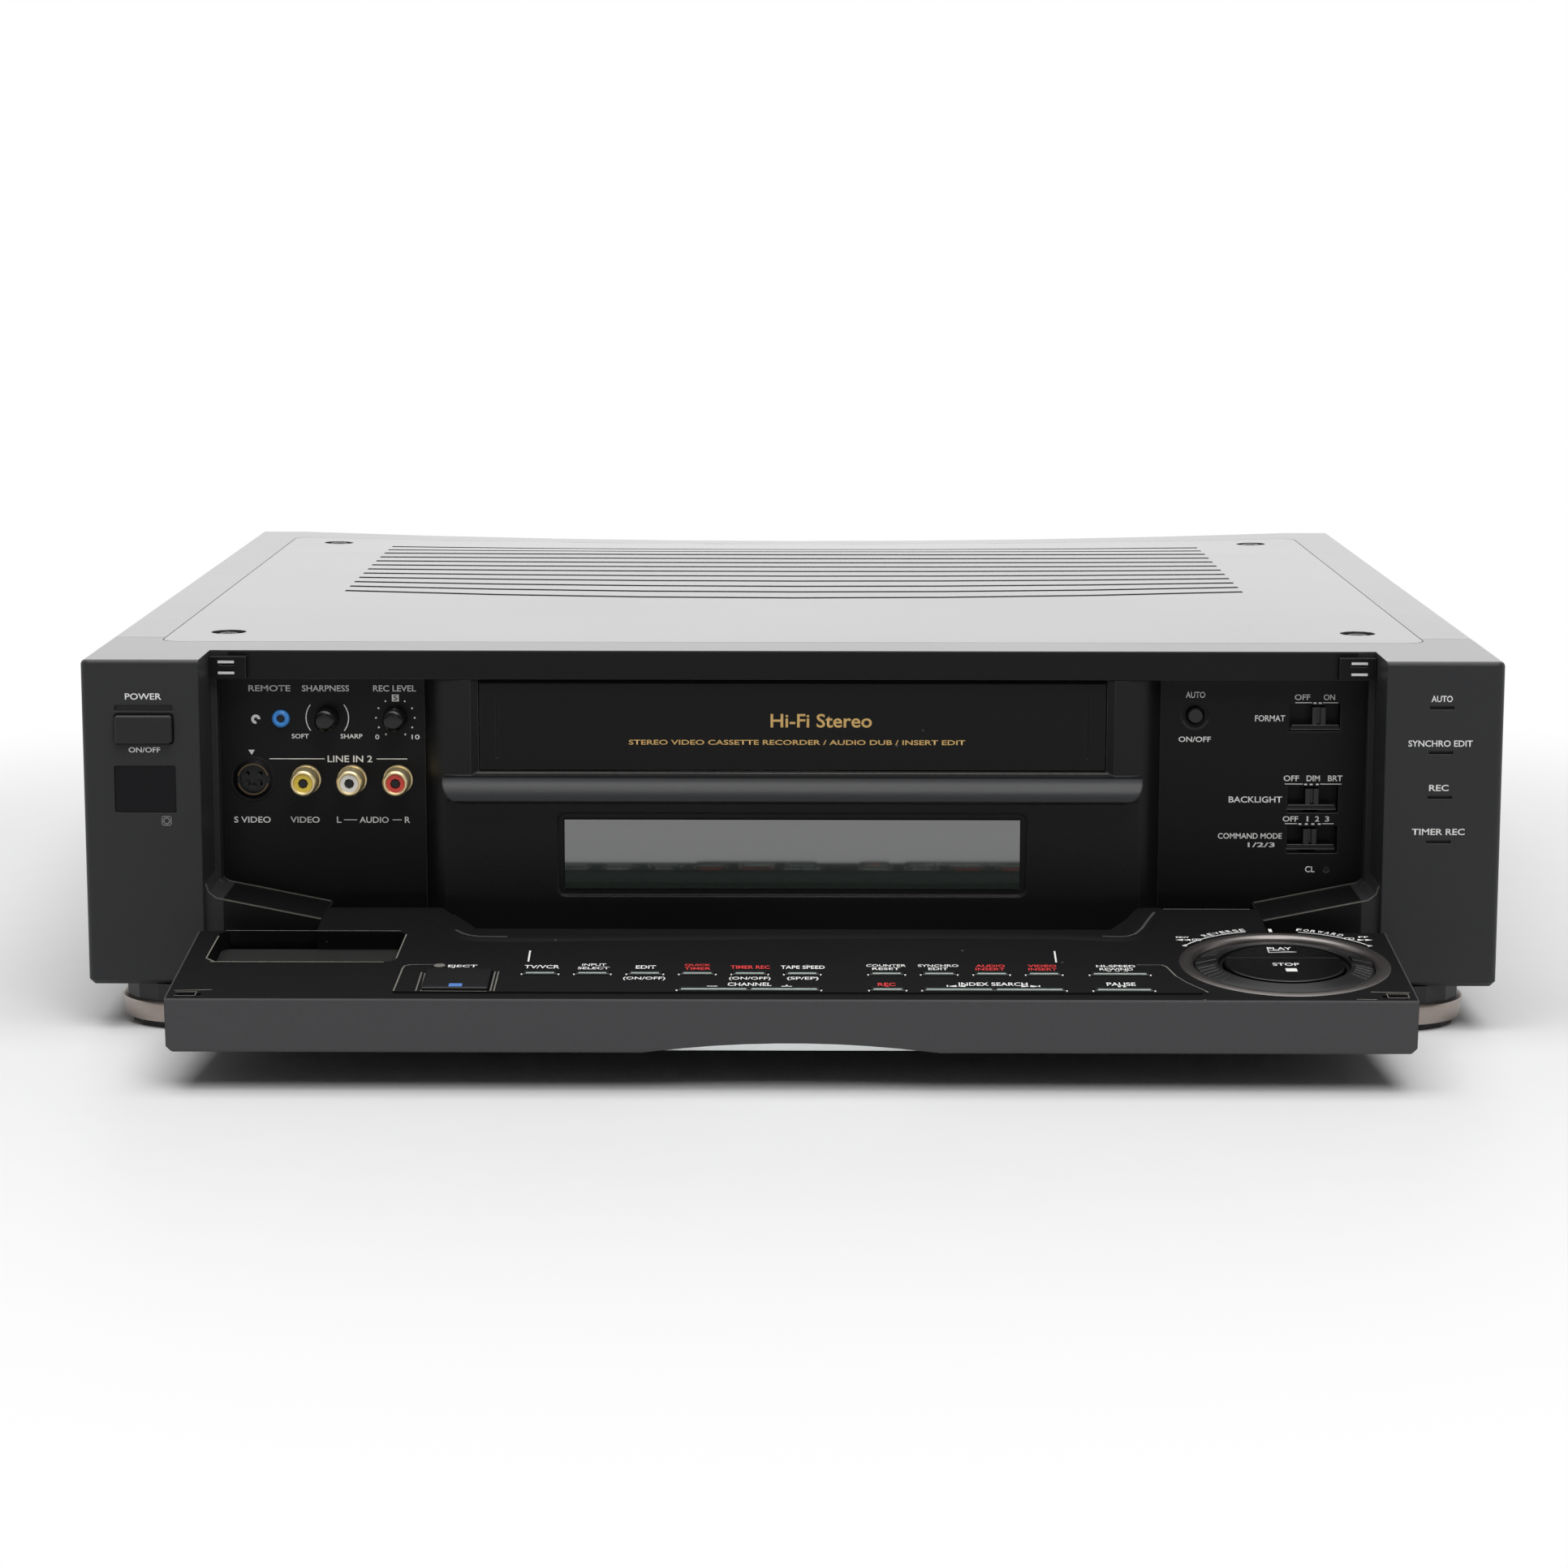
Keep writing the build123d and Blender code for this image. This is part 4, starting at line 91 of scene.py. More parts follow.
def facing_rear(y):
    """Drawing plane that faces away from the viewer."""
    return Matrix(((-1, 0, 0, 0), (0, 0, 1, y + FRONT), (0, 1, 0, 0), (0, 0, 0, 1)))


def on_flap(height=0.0):
    """Drawing plane over the flap's inner face; u runs to the free edge and local y is -u."""
    origin = HINGE + OUT_OF_FLAP * (FACE_OVER_HINGE + height)
    up = -TO_FREE_EDGE
    return Matrix(((1, up[0], OUT_OF_FLAP[0], 0), (0, up[1], OUT_OF_FLAP[1], origin[1]),
                   (0, up[2], OUT_OF_FLAP[2], origin[2]), (0, 0, 0, 1)))


def on_dial(height=0.0):
    """The flap's plane with its origin moved to the dial's axis."""
    return on_flap(height) @ Matrix.Translation((DIAL.x, -DIAL_U, 0))


def on_top(z):
    return Matrix.Translation((0, FRONT, z))


def at(plane, x, y):
    """A drawing plane with its origin moved along itself."""
    return plane @ Matrix.Translation((x, y, 0))


def turned(plane, degrees):
    """A drawing plane turned about its normal."""
    return plane @ Matrix.Rotation(math.radians(degrees), 4, "Z")


# ------------------------------------------------------------------ shader nodes
def shade(colour, factor):
    """Lighter or darker colour, with an alpha of 1."""
    return tuple(min(1.0, channel * factor) for channel in colour) + (1.0,)


def joined(tree, operation, first, second):
    """Output of a math node fed by two sockets."""
    node = tree.nodes.new("ShaderNodeMath")
    node.operation = operation
    tree.links.new(first, node.inputs[0])
    tree.links.new(second, node.inputs[1])
    return node.outputs[0]


def dotted(tree, vector, other):
    """Dot product of a socket with a second socket or a fixed direction."""
    node = tree.nodes.new("ShaderNodeVectorMath")
    node.operation = "DOT_PRODUCT"
    tree.links.new(vector, node.inputs[0])
    if isinstance(other, bpy.types.NodeSocket):
        tree.links.new(other, node.inputs[1])
    else:
        node.inputs[1].default_value = other
    return node.outputs["Value"]


def mapped(tree, value, low, high, to_low=0.0, to_high=1.0, smooth=False):
    """Output of a map range node fed by one socket."""
    node = tree.nodes.new("ShaderNodeMapRange")
    if smooth:
        node.interpolation_type = "SMOOTHSTEP"
    for field, number in (("From Min", low), ("From Max", high), ("To Min", to_low), ("To Max", to_high)):
        node.inputs[field].default_value = number
    tree.links.new(value, node.inputs["Value"])
    return node.outputs["Result"]


def ramped(tree, value, stops, stepped=False):
    """Output of a colour ramp with (position, colour) stops."""
    node = tree.nodes.new("ShaderNodeValToRGB")
    if stepped:
        node.color_ramp.interpolation = "CONSTANT"
    elements = node.color_ramp.elements
    for index, (position, colour) in enumerate(stops):
        element = elements[index] if index < 2 else elements.new(position)
        element.position = position
        element.color = colour
    tree.links.new(value, node.inputs["Fac"])
    return node.outputs["Color"]


def blended(tree, amount, base, over):
    """Mixes a second colour, fixed or from a socket, over the first."""
    node = tree.nodes.new("ShaderNodeMix")
    node.data_type = "RGBA"
    tree.links.new(amount, node.inputs[0])
    tree.links.new(base, node.inputs[6])
    if isinstance(over, bpy.types.NodeSocket):
        tree.links.new(over, node.inputs[7])
    else:
        node.inputs[7].default_value = over
    return node.outputs[2]


def noise(tree, place, scale, detail):
    node = tree.nodes.new("ShaderNodeTexNoise")
    node.inputs["Scale"].default_value = scale
    node.inputs["Detail"].default_value = detail
    if place:
        tree.links.new(place, node.inputs["Vector"])
    return node.outputs["Fac"]


def rounded_normal(tree, radius):
    node = tree.nodes.new("ShaderNodeBevel")
    node.samples = 4
    node.inputs["Radius"].default_value = radius
    return node.outputs["Normal"]


# ------------------------------------------------------------------ materials
DUST_GREY = (0.35, 0.35, 0.33, 1)
# grey mixed into rounded edges: wear together with a painted edge highlight
EDGE_WEAR_AND_HIGHLIGHT_GREY = (0.3, 0.29, 0.27, 1)
EDGE_WEAR_AND_HIGHLIGHT_RADIUS = 0.0006
SPECK_SCALE = 55.0
RELIEF_DEPTH = 0.0003


def surface(name, colour, rough=0.5, metal=0.0, vary=0.12, grain=900.0, bump=0.03, coat=0.0, coat_rough=0.2,
            rough_vary=0.06, ior=1.5, edge=0.0, blotch=14.0, dust=0.0, shine=0.5, edge_wear_and_highlight=0.0):
    """Moulded, painted or plated surface: colour varies in blotches and grain, with fine relief."""
    material = bpy.data.materials.new(name)
    material.use_nodes = True
    tree = material.node_tree
    links = tree.links
    shader = tree.nodes["Principled BSDF"]
    place = tree.nodes.new("ShaderNodeTexCoord").outputs["Object"]
    broad = noise(tree, place, blotch, 5.0)
    fine = noise(tree, place, grain, 3.0)
    both = tree.nodes.new("ShaderNodeMix")
    both.inputs[0].default_value = 0.45
    links.new(broad, both.inputs[2])
    links.new(fine, both.inputs[3])
    stops = ((0.3, shade(colour, 1.0 - vary)), (0.7, shade(colour, 1.0 + vary)))
    result = ramped(tree, both.outputs[0], stops)
    if dust:
        specks = tree.nodes.new("ShaderNodeTexVoronoi")
        specks.inputs["Scale"].default_value = SPECK_SCALE
        links.new(place, specks.inputs["Vector"])
        stops = ((0.018, (dust, dust, dust, 1)), (0.03, (0, 0, 0, 1)))
        mask = ramped(tree, specks.outputs["Distance"], stops)
        result = blended(tree, mask, result, DUST_GREY)
    # edges are lightened where the rounded normal turns from the flat one: wear, and a painted highlight
    # along the edges
    if edge_wear_and_highlight:
        flat = tree.nodes.new("ShaderNodeNewGeometry").outputs["Normal"]
        match = dotted(tree, rounded_normal(tree, EDGE_WEAR_AND_HIGHLIGHT_RADIUS), flat)
        edge_wear_and_highlight_mask = mapped(tree, match, 0.995, 0.8, 0.0, edge_wear_and_highlight)
        result = blended(tree, joined(tree, "MULTIPLY", edge_wear_and_highlight_mask, broad), result, EDGE_WEAR_AND_HIGHLIGHT_GREY)
    links.new(result, shader.inputs["Base Color"])
    gloss = mapped(tree, broad, 0.0, 1.0, max(0.02, rough - rough_vary), min(1.0, rough + rough_vary))
    links.new(gloss, shader.inputs["Roughness"])
    relief = tree.nodes.new("ShaderNodeBump")
    relief.inputs["Strength"].default_value = bump
    relief.inputs["Distance"].default_value = RELIEF_DEPTH
    links.new(fine, relief.inputs["Height"])
    if edge:
        links.new(rounded_normal(tree, edge), relief.inputs["Normal"])
    links.new(relief.outputs["Normal"], shader.inputs["Normal"])
    for field, number in (("Metallic", metal), ("IOR", ior), ("Specular IOR Level", shine),
                          ("Coat Weight", coat), ("Coat Roughness", coat_rough)):
        shader.inputs[field].default_value = number
    return material


def reach_along(material, axis, low, high):
    """Socket that runs from 0 to 1 between two distances along an axis of the object, in millimetres."""
    tree = material.node_tree
    place = tree.nodes.new("ShaderNodeTexCoord").outputs["Object"]
    return mapped(tree, dotted(tree, place, axis), low / 1000, high / 1000)


def two_tone(material, colour, masks):
    """Mixes a second colour into a material wherever one of the masks is 1."""
    tree = material.node_tree
    base = tree.nodes["Principled BSDF"].inputs["Base Color"]
    mask = masks[0]
    for other in masks[1:]:
        mask = joined(tree, "MAXIMUM", mask, other)
    grainy = noise(tree, None, 1100, 2.0)
    grains = ramped(tree, grainy, ((0.35, shade(colour, 0.85)), (0.65, shade(colour, 1.15))))
    tree.links.new(blended(tree, mask, base.links[0].from_socket, grains), base)


def by_place(name, stops, axis, low, high):
    """Surface whose colour steps along one axis, for a node that holds pieces of several colours."""
    material = surface(name, (0.5, 0.5, 0.5), rough=0.35)
    tree = material.node_tree
    split = tree.nodes.new("ShaderNodeSeparateXYZ")
    tree.links.new(tree.nodes.new("ShaderNodeTexCoord").outputs["Object"], split.inputs["Vector"])
    steps = ramped(tree, mapped(tree, split.outputs[axis], low, high), stops, stepped=True)
    tree.links.new(steps, tree.nodes["Principled BSDF"].inputs["Base Color"])
    return material


BEZEL = surface("bezel_satin", (0.0045, 0.0045, 0.005), rough=0.4, vary=0.15, grain=1400, bump=0.1,
                edge=0.0007, dust=0.3, shine=0.22, edge_wear_and_highlight=0.5)
# the bezel's top face shines like the painted plate behind it
BEZEL_SHADER = BEZEL.node_tree.nodes["Principled BSDF"]
BEZEL_SHADER.inputs["Coat Roughness"].default_value = 0.18
crown = reach_along(BEZEL, (0, 0, 1), TOP - 0.45, TOP - 0.1)
BEZEL.node_tree.links.new(crown, BEZEL_SHADER.inputs["Coat Weight"])
# the outer pillars beside the flap, the top face and the front face are lighter than the recess
PILLAR_X = 173.6
two_tone(BEZEL, (0.03, 0.0305, 0.032), [
    reach_along(BEZEL, (1, 0, 0), PILLAR_X, PILLAR_X + 0.3),
    reach_along(BEZEL, (-1, 0, 0), PILLAR_X, PILLAR_X + 0.3),
    reach_along(BEZEL, (0, 0, 1), TOP - 0.5, TOP - 0.2),
    reach_along(BEZEL, (0, -1, 0), -FRONT - 0.2, -FRONT + 0.3)])
BUTTON = surface("button_satin", (0.014, 0.014, 0.015), rough=0.36, grain=1400, bump=0.1, edge=0.0006,
                 shine=0.3, edge_wear_and_highlight=0.2)
RECESS = surface("recess_satin", (0.005, 0.005, 0.0057), rough=0.4, vary=0.18, grain=1300, bump=0.1,
                 edge=0.0006, dust=0.2, shine=0.18, edge_wear_and_highlight=0.35)
FLAP_FACE = surface("flap_satin", (0.0048, 0.0048, 0.0054), rough=0.6, vary=0.15, grain=1300, bump=0.12,
                    edge=0.0006, dust=0.25, shine=0.08)
# the flap is light on its free edge, its outer face and its two ends
FLAP_DEPTH = 87.0
FLAP_THICKNESS = 13.0
FREE_EDGE = HINGE.dot(TO_FREE_EDGE) + FLAP_DEPTH
OUTER_FACE = HINGE.dot(OUT_OF_FLAP) + FACE_OVER_HINGE - FLAP_THICKNESS
FLAP_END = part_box("control_flap")[1][0] * 1000
two_tone(FLAP_FACE, (0.076, 0.075, 0.078), [
    reach_along(FLAP_FACE, TO_FREE_EDGE, FREE_EDGE - 0.6, FREE_EDGE - 0.4),
    reach_along(FLAP_FACE, OUT_OF_FLAP, OUTER_FACE + 0.2, OUTER_FACE - 0.2),
    reach_along(FLAP_FACE, (1, 0, 0), FLAP_END - 0.5, FLAP_END - 0.2),
    reach_along(FLAP_FACE, (-1, 0, 0), FLAP_END - 0.5, FLAP_END - 0.2)])
TOP_PAINT = surface("top_paint", (0.046, 0.043, 0.047), rough=0.26, vary=0.07, grain=1800, bump=0.05,
                    coat=1.0, coat_rough=0.18, blotch=6, edge=0.0005)
COVER_PAINT = surface("cover_paint", (0.036, 0.035, 0.037), rough=0.28, vary=0.08, grain=1800, bump=0.06,
                      coat=1.0, blotch=6, edge=0.0005)
DOOR = surface("door_gloss", (0.006, 0.006, 0.0065), rough=0.25, vary=0.15, grain=700, bump=0.015,
               edge=0.0004, dust=0.2, shine=0.14, edge_wear_and_highlight=0.15)
KEY = surface("key_satin", (0.008, 0.008, 0.0085), rough=0.36, vary=0.15, grain=1500, bump=0.06,
              edge=0.0004, shine=0.3)
KNOB = surface("knob_satin", (0.0045, 0.0045, 0.005), rough=0.24, vary=0.15, grain=1500, bump=0.05,
               edge=0.0003, shine=0.4)
BLACK = surface("black_moulding", (0.008, 0.008, 0.008), vary=0.2, grain=1200, bump=0.12)
RING = surface("dial_ring", (0.17, 0.156, 0.15), rough=0.34, metal=0.9, vary=0.1, grain=600, edge=0.0004)
SHUTTLE = surface("shuttle_satin", (0.012, 0.012, 0.0125), rough=0.3, vary=0.15, grain=1300, bump=0.05,
                  edge=0.0005, shine=0.45)
POCKET = surface("pocket_floor", (0.017, 0.0165, 0.016), vary=0.3, grain=1100, bump=0.15, dust=0.6,
                 shine=0.3)
# lighter grey for the rolled edge's corners: wear and painted highlight
ROLL_WEAR_AND_HIGHLIGHT = surface("roll_wear_and_highlight", (0.05, 0.048, 0.044), vary=0.5, grain=1400, bump=0.1)
# near-white: painted reflection of the floor on the scoop's bevel
SCOOP_REFLECTION = surface("scoop_painted_reflection", (0.92, 0.95, 0.94), rough=0.35, vary=0.03, bump=0.0)
FOOT_METAL = surface("foot_ring", (0.36, 0.31, 0.28), rough=0.3, metal=0.9, vary=0.08, grain=700)
GILT = surface("gilt", (0.9, 0.74, 0.42), rough=0.36, metal=0.85, vary=0.06, grain=500, bump=0.02)
STEEL = surface("plated_steel", (0.55, 0.55, 0.54), rough=0.32, metal=0.9, vary=0.08, grain=500, bump=0.04)
ZINC = surface("zinc_sheet", (0.42, 0.42, 0.4), rough=0.4, metal=0.85, vary=0.2, grain=120, bump=0.05,
               blotch=40)
POLISHED = surface("polished_drum", (0.8, 0.8, 0.8), rough=0.12, metal=1.0, vary=0.03, grain=500, bump=0.01)
BOARD = surface("circuit_board", (0.05, 0.14, 0.06), rough=0.4, vary=0.35, grain=160, bump=0.1, blotch=60)
WHITE_PLASTIC = surface("reel_moulding", (0.72, 0.72, 0.69), rough=0.42, vary=0.04, bump=0.05)
BRONZE = surface("bronze_ring", (0.2, 0.13, 0.06), rough=0.4, metal=0.7, vary=0.15, grain=500, bump=0.02)
RUBBER = surface("roller_rubber", (0.012, 0.012, 0.012), rough=0.7, vary=0.2, grain=1500, bump=0.15)
SCREW = surface("screw_black", (0.02, 0.02, 0.02), rough=0.28, metal=0.8, vary=0.2, grain=700, bump=0.06)
SENSOR = surface("sensor_pane", (0.0025, 0.0025, 0.004), rough=0.08, vary=0.2, grain=400, bump=0.0,
                 shine=0.14)
BLUE = surface("blue_collar", (0.07, 0.33, 0.85), rough=0.3, vary=0.08)
PRINT = surface("print_grey", (0.82, 0.82, 0.8), rough=0.6, vary=0.05, grain=2000, bump=0.0)
PRINT_RED = surface("print_red", (0.72, 0.04, 0.04), rough=0.6, vary=0.08, grain=2000, bump=0.0)
PRINT_GOLD = surface("print_gold", (0.75, 0.48, 0.16), rough=0.4, vary=0.08, grain=2000, bump=0.0)
PRINT_DIM = surface("print_dim", (0.2, 0.2, 0.2), rough=0.6, vary=0.1, grain=2000, bump=0.0)
# light green-grey for the keys' front edges: painted highlight
KEY_EDGE_HIGHLIGHT = surface("key_edge_highlight", (0.36, 0.43, 0.4), rough=0.3, grain=700)
BLUE_PRINT = surface("print_blue", (0.1, 0.24, 0.6), rough=0.4, vary=0.1, bump=0.0)
# brownish light lines along edges: dust and painted edge highlights
EDGE_DUST_AND_HIGHLIGHT = surface("edge_dust_and_highlight", (0.16, 0.15, 0.13), rough=0.8, vary=0.4, bump=0.1)
# yellow, white and red inserts of the three front jacks, from left to right
INSERT_COLOURS = ((0.0, (0.85, 0.62, 0.06, 1)), (0.36, (0.9, 0.87, 0.8, 1)), (0.68, (0.72, 0.06, 0.04, 1)))
INSERTS = by_place("jack_inserts", INSERT_COLOURS, "X",
                   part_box("rca_inserts")[0][0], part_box("rca_inserts")[1][0])
DISPLAY_PANE = surface("display_pane", (0.031, 0.041, 0.035), rough=0.05, vary=0.05, grain=300, bump=0.0,
                       rough_vary=0.01, ior=2.45)
DISPLAY_TUBE = surface("display_tube", (0.05, 0.062, 0.058), rough=0.3, vary=0.1, grain=300, bump=0.0)
SURROUND = surface("surround_satin", (0.0075, 0.0075, 0.0085), rough=0.36, vary=0.18, grain=1300, bump=0.1,
                   edge=0.0008, dust=0.3, shine=0.25, edge_wear_and_highlight=0.35)
# the surround's front end is lighter than its sides
two_tone(SURROUND, (0.04, 0.041, 0.043), [reach_along(SURROUND, (0, -1, 0), -FRONT - 22.5, -FRONT - 21.5)])

NODE_MATERIAL = {
    "front_bezel": BEZEL, "cassette_surround": SURROUND, "control_panels": RECESS,
    "display_window": DISPLAY_PANE, "display_module": DISPLAY_TUBE, "sensor_window": SENSOR,
    "case_cover": COVER_PAINT, "top_plate": TOP_PAINT, "bottom_chassis": ZINC, "rear_panel": BLACK,
    "rear_jacks": STEEL, "mains_inlet": BLACK, "foot_cores": BLACK, "foot_rings": FOOT_METAL,
    "rca_jacks": GILT, "rca_inserts": INSERTS, "s_video_socket": BLACK, "control_socket": BLACK,
    "door_catches": RECESS, "case_screws": SCREW, "main_board": BOARD, "power_supply": BOARD,
    "deck_plate": STEEL, "control_flap": FLAP_FACE, "dial_bezel": RING, "shuttle_ring": KNOB,
    "power_button": BUTTON, "sharpness_knob": KNOB, "level_knob": KNOB, "picture_button": KNOB,
    "format_slider": KNOB, "backlight_slider": KNOB, "command_slider": KNOB, "cassette_door": DOOR,
    "lift_carriage": STEEL, "cassette_basket": STEEL, "head_drum": POLISHED, "capstan": POLISHED,
    "supply_reel": WHITE_PLASTIC, "takeup_reel": WHITE_PLASTIC, "pinch_arm": STEEL, "pinch_roller": RUBBER,
}
for node_name, node_object in frame["nodes"].items():
    material = NODE_MATERIAL.get(node_name, KEY)
    for slot in node_object.material_slots:
        slot.material = material

# ------------------------------------------------------------------ drawing helpers
MM = Matrix.Scale(0.001, 4)
GROUPS = {}
WORDS = []


def group(name, material, body):
    """Mesh under construction that becomes one piece riding on one body."""
    if name not in GROUPS:
        GROUPS[name] = (bmesh.new(), material, body)
    return name


def add_faces(name, matrix, points, faces):
    mesh = GROUPS[name][0]
    corners = [mesh.verts.new(MM @ matrix @ Vector(point)) for point in points]
    for face in faces:
        mesh.faces.new([corners[index] for index in face])


def add_quad(name, matrix, x, y, height=INK):
    points = [(x[0], y[0], height), (x[1], y[0], height), (x[1], y[1], height), (x[0], y[1], height)]
    add_faces(name, matrix, points, [(0, 1, 2, 3)])


def add_triangle(name, matrix, corners, height=INK):
    add_faces(name, matrix, [(*corner, height) for corner in corners], [(0, 1, 2)])


def add_line(name, matrix, start, end, width, height=INK):
    side = Vector((start[1] - end[1], end[0] - start[0], 0)).normalized() * width / 2
    first, last = Vector((*start, height)), Vector((*end, height))
    add_faces(name, matrix, [first - side, last - side, last + side, first + side], [(0, 1, 2, 3)])


def add_block(name, matrix, x, y, z, bevel=0.0):
    """Block between limits on the drawing plane and over it; a bevel cuts its upper edges."""
    rings = [(0.0, z[0]), (0.0, z[1] - bevel), (bevel, z[1])] if bevel else [(0.0, z[0]), (0.0, z[1])]
    points = []
    for cut, level in rings:
        x0, x1, y0, y1 = x[0] + cut, x[1] - cut, y[0] + cut, y[1] - cut
        points += [(x0, y0, level), (x1, y0, level), (x1, y1, level), (x0, y1, level)]
    faces = [(3, 2, 1, 0), tuple(range(len(points) - 4, len(points)))]
    for ring in range(len(rings) - 1):
        for side in range(4):
            a = ring * 4 + side
            b = ring * 4 + (side + 1) % 4
            faces.append((a, b, b + 4, a + 4))
    add_faces(name, matrix, points, faces)


def around(radius, angle, centre=(0, 0)):
    """Point at an angle, in radians, on a circle."""
    return centre[0] + radius * math.cos(angle), centre[1] + radius * math.sin(angle)


def strip(count):
    """Faces between two rows of points that take turns."""
    return [(2 * i, 2 * i + 1, 2 * i + 3, 2 * i + 2) for i in range(count)]


def add_arc(name, matrix, centre, radius, width, start, end, steps=24, height=INK):
    """Flat band along an arc, in degrees."""
    points = []
    for step in range(steps + 1):
        angle = math.radians(start + (end - start) * step / steps)
        for r in (radius - width / 2, radius + width / 2):
            points.append((*around(r, angle, centre), height))
    add_faces(name, matrix, points, strip(steps))


def add_disk(name, matrix, centre, radius, height=INK, steps=20):
    points = [(*around(radius, 2 * math.pi * i / steps, centre), height) for i in range(steps)]
    add_faces(name, matrix, points, [tuple(range(steps))])


def add_lathe(name, matrix, outline, steps=48, ribs=0, rib_depth=0.0, rib_range=None):
    """(radius, height) outline turned about the plane's normal; ribs modulate part of it."""
    points = []
    for step in range(steps):
        angle = 2 * math.pi * step / steps
        for index, (radius, height) in enumerate(outline):
            if ribs and rib_range[0] <= index <= rib_range[1]:
                radius -= rib_depth * (0.5 + 0.5 * math.cos(ribs * angle))
            points.append((*around(radius, angle), height))
    count = len(outline)
    faces = []
    for step in range(steps):
        here, beside = step * count, (step + 1) % steps * count
        for index in range(count - 1):
            faces.append((here + index, beside + index, beside + index + 1, here + index + 1))
    add_faces(name, matrix, points, faces)


def add_word(name, matrix, text, centre, width, height, lift=INK):
    """Printed word fitted to a width and a capital height; set_words turns it into faces."""
    curve = bpy.data.curves.new("word", "FONT")
    curve.body = text
    curve.align_x = "CENTER"
    curve.resolution_u = 3
    curve.offset = 0.014
    carrier = bpy.data.objects.new("word", curve)
    bpy.context.scene.collection.objects.link(carrier)
    WORDS.append((carrier, name, matrix, centre, width, height, lift))


def set_words():
    view = bpy.context.evaluated_depsgraph_get()
    for carrier, name, matrix, centre, width, height, lift in WORDS:
        letters = bpy.data.meshes.new_from_object(carrier.evaluated_get(view))
        if letters.vertices:
            xs = [v.co.x for v in letters.vertices]
            ys = [v.co.y for v in letters.vertices]
            sx = width / (max(xs) - min(xs))
            sy = height / (max(ys) - min(ys))
            fit = Matrix.Translation((centre[0], centre[1], lift)) @ Matrix.Diagonal((sx, sy, 1, 1))
            fit = fit @ Matrix.Translation((-(max(xs) + min(xs)) / 2, -(max(ys) + min(ys)) / 2, 0))
            letters.transform(MM @ matrix @ fit)
            GROUPS[name][0].from_mesh(letters)
        bpy.data.meshes.remove(letters)
        curve = carrier.data
        bpy.data.objects.remove(carrier)
        bpy.data.curves.remove(curve)


def make_pieces():
    """One object for each group; those whose names start with solid_ are shaded smooth."""
    made = {}
    for name, (mesh, material, body) in GROUPS.items():
        solid = name.startswith("solid_")
        if solid:
            bmesh.ops.recalc_face_normals(mesh, faces=mesh.faces)
        data = bpy.data.meshes.new(name)
        mesh.to_mesh(data)
        mesh.free()
        data.materials.append(material)
        if solid:
            data.shade_smooth()
            data.set_sharp_from_angle(angle=math.radians(35))
        piece = bpy.data.objects.new(name, data)
        bpy.context.scene.collection.objects.link(piece)
        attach(piece, body)
        made[name] = piece
    return made


# how far the coloured inserts of the jacks stand off the panel
INSERT_FACE = (PANEL_Y + FRONT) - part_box("rca_inserts")[0][1] * 1000

# ------------------------------------------------------------------ lettering and lines on the fixed front
PILLAR = facing_front(0.0)
PANEL = facing_front(PANEL_Y)
# (x, z) places on the panels
CONTROL_SOCKET = (-158.6, 91.8)
SHARPNESS = (-144.2, 92.1)
LEVEL = (-123.1, 92.1)
PICTURE = (124.7, 93.1)
RESET = (166.4, 44.9)
JACK_Z = 72.8
S_VIDEO = (-167.6, JACK_Z)
JACKS = [(x, JACK_Z) for x in (-151.0, -136.75, -122.5)]
group("front_words", PRINT, "machine")
group("front_dim", PRINT_DIM, "machine")
for text, x, z, width, height in (
    ("POWER", -196.0, 102.9, 11.0, 1.95), ("ON/OFF", -196.0, 86.6, 9.6, 1.6),
    ("AUTO", 195.9, 102.8, 6.4, 1.95), ("SYNCHRO EDIT", 195.8, 89.2, 19.4, 1.95),
    ("REC", 195.7, 75.6, 5.9, 1.95), ("TIMER REC", 195.9, 62.1, 16.0, 1.95),
):
    add_word("front_words", PILLAR, text, (x, z), width, height)
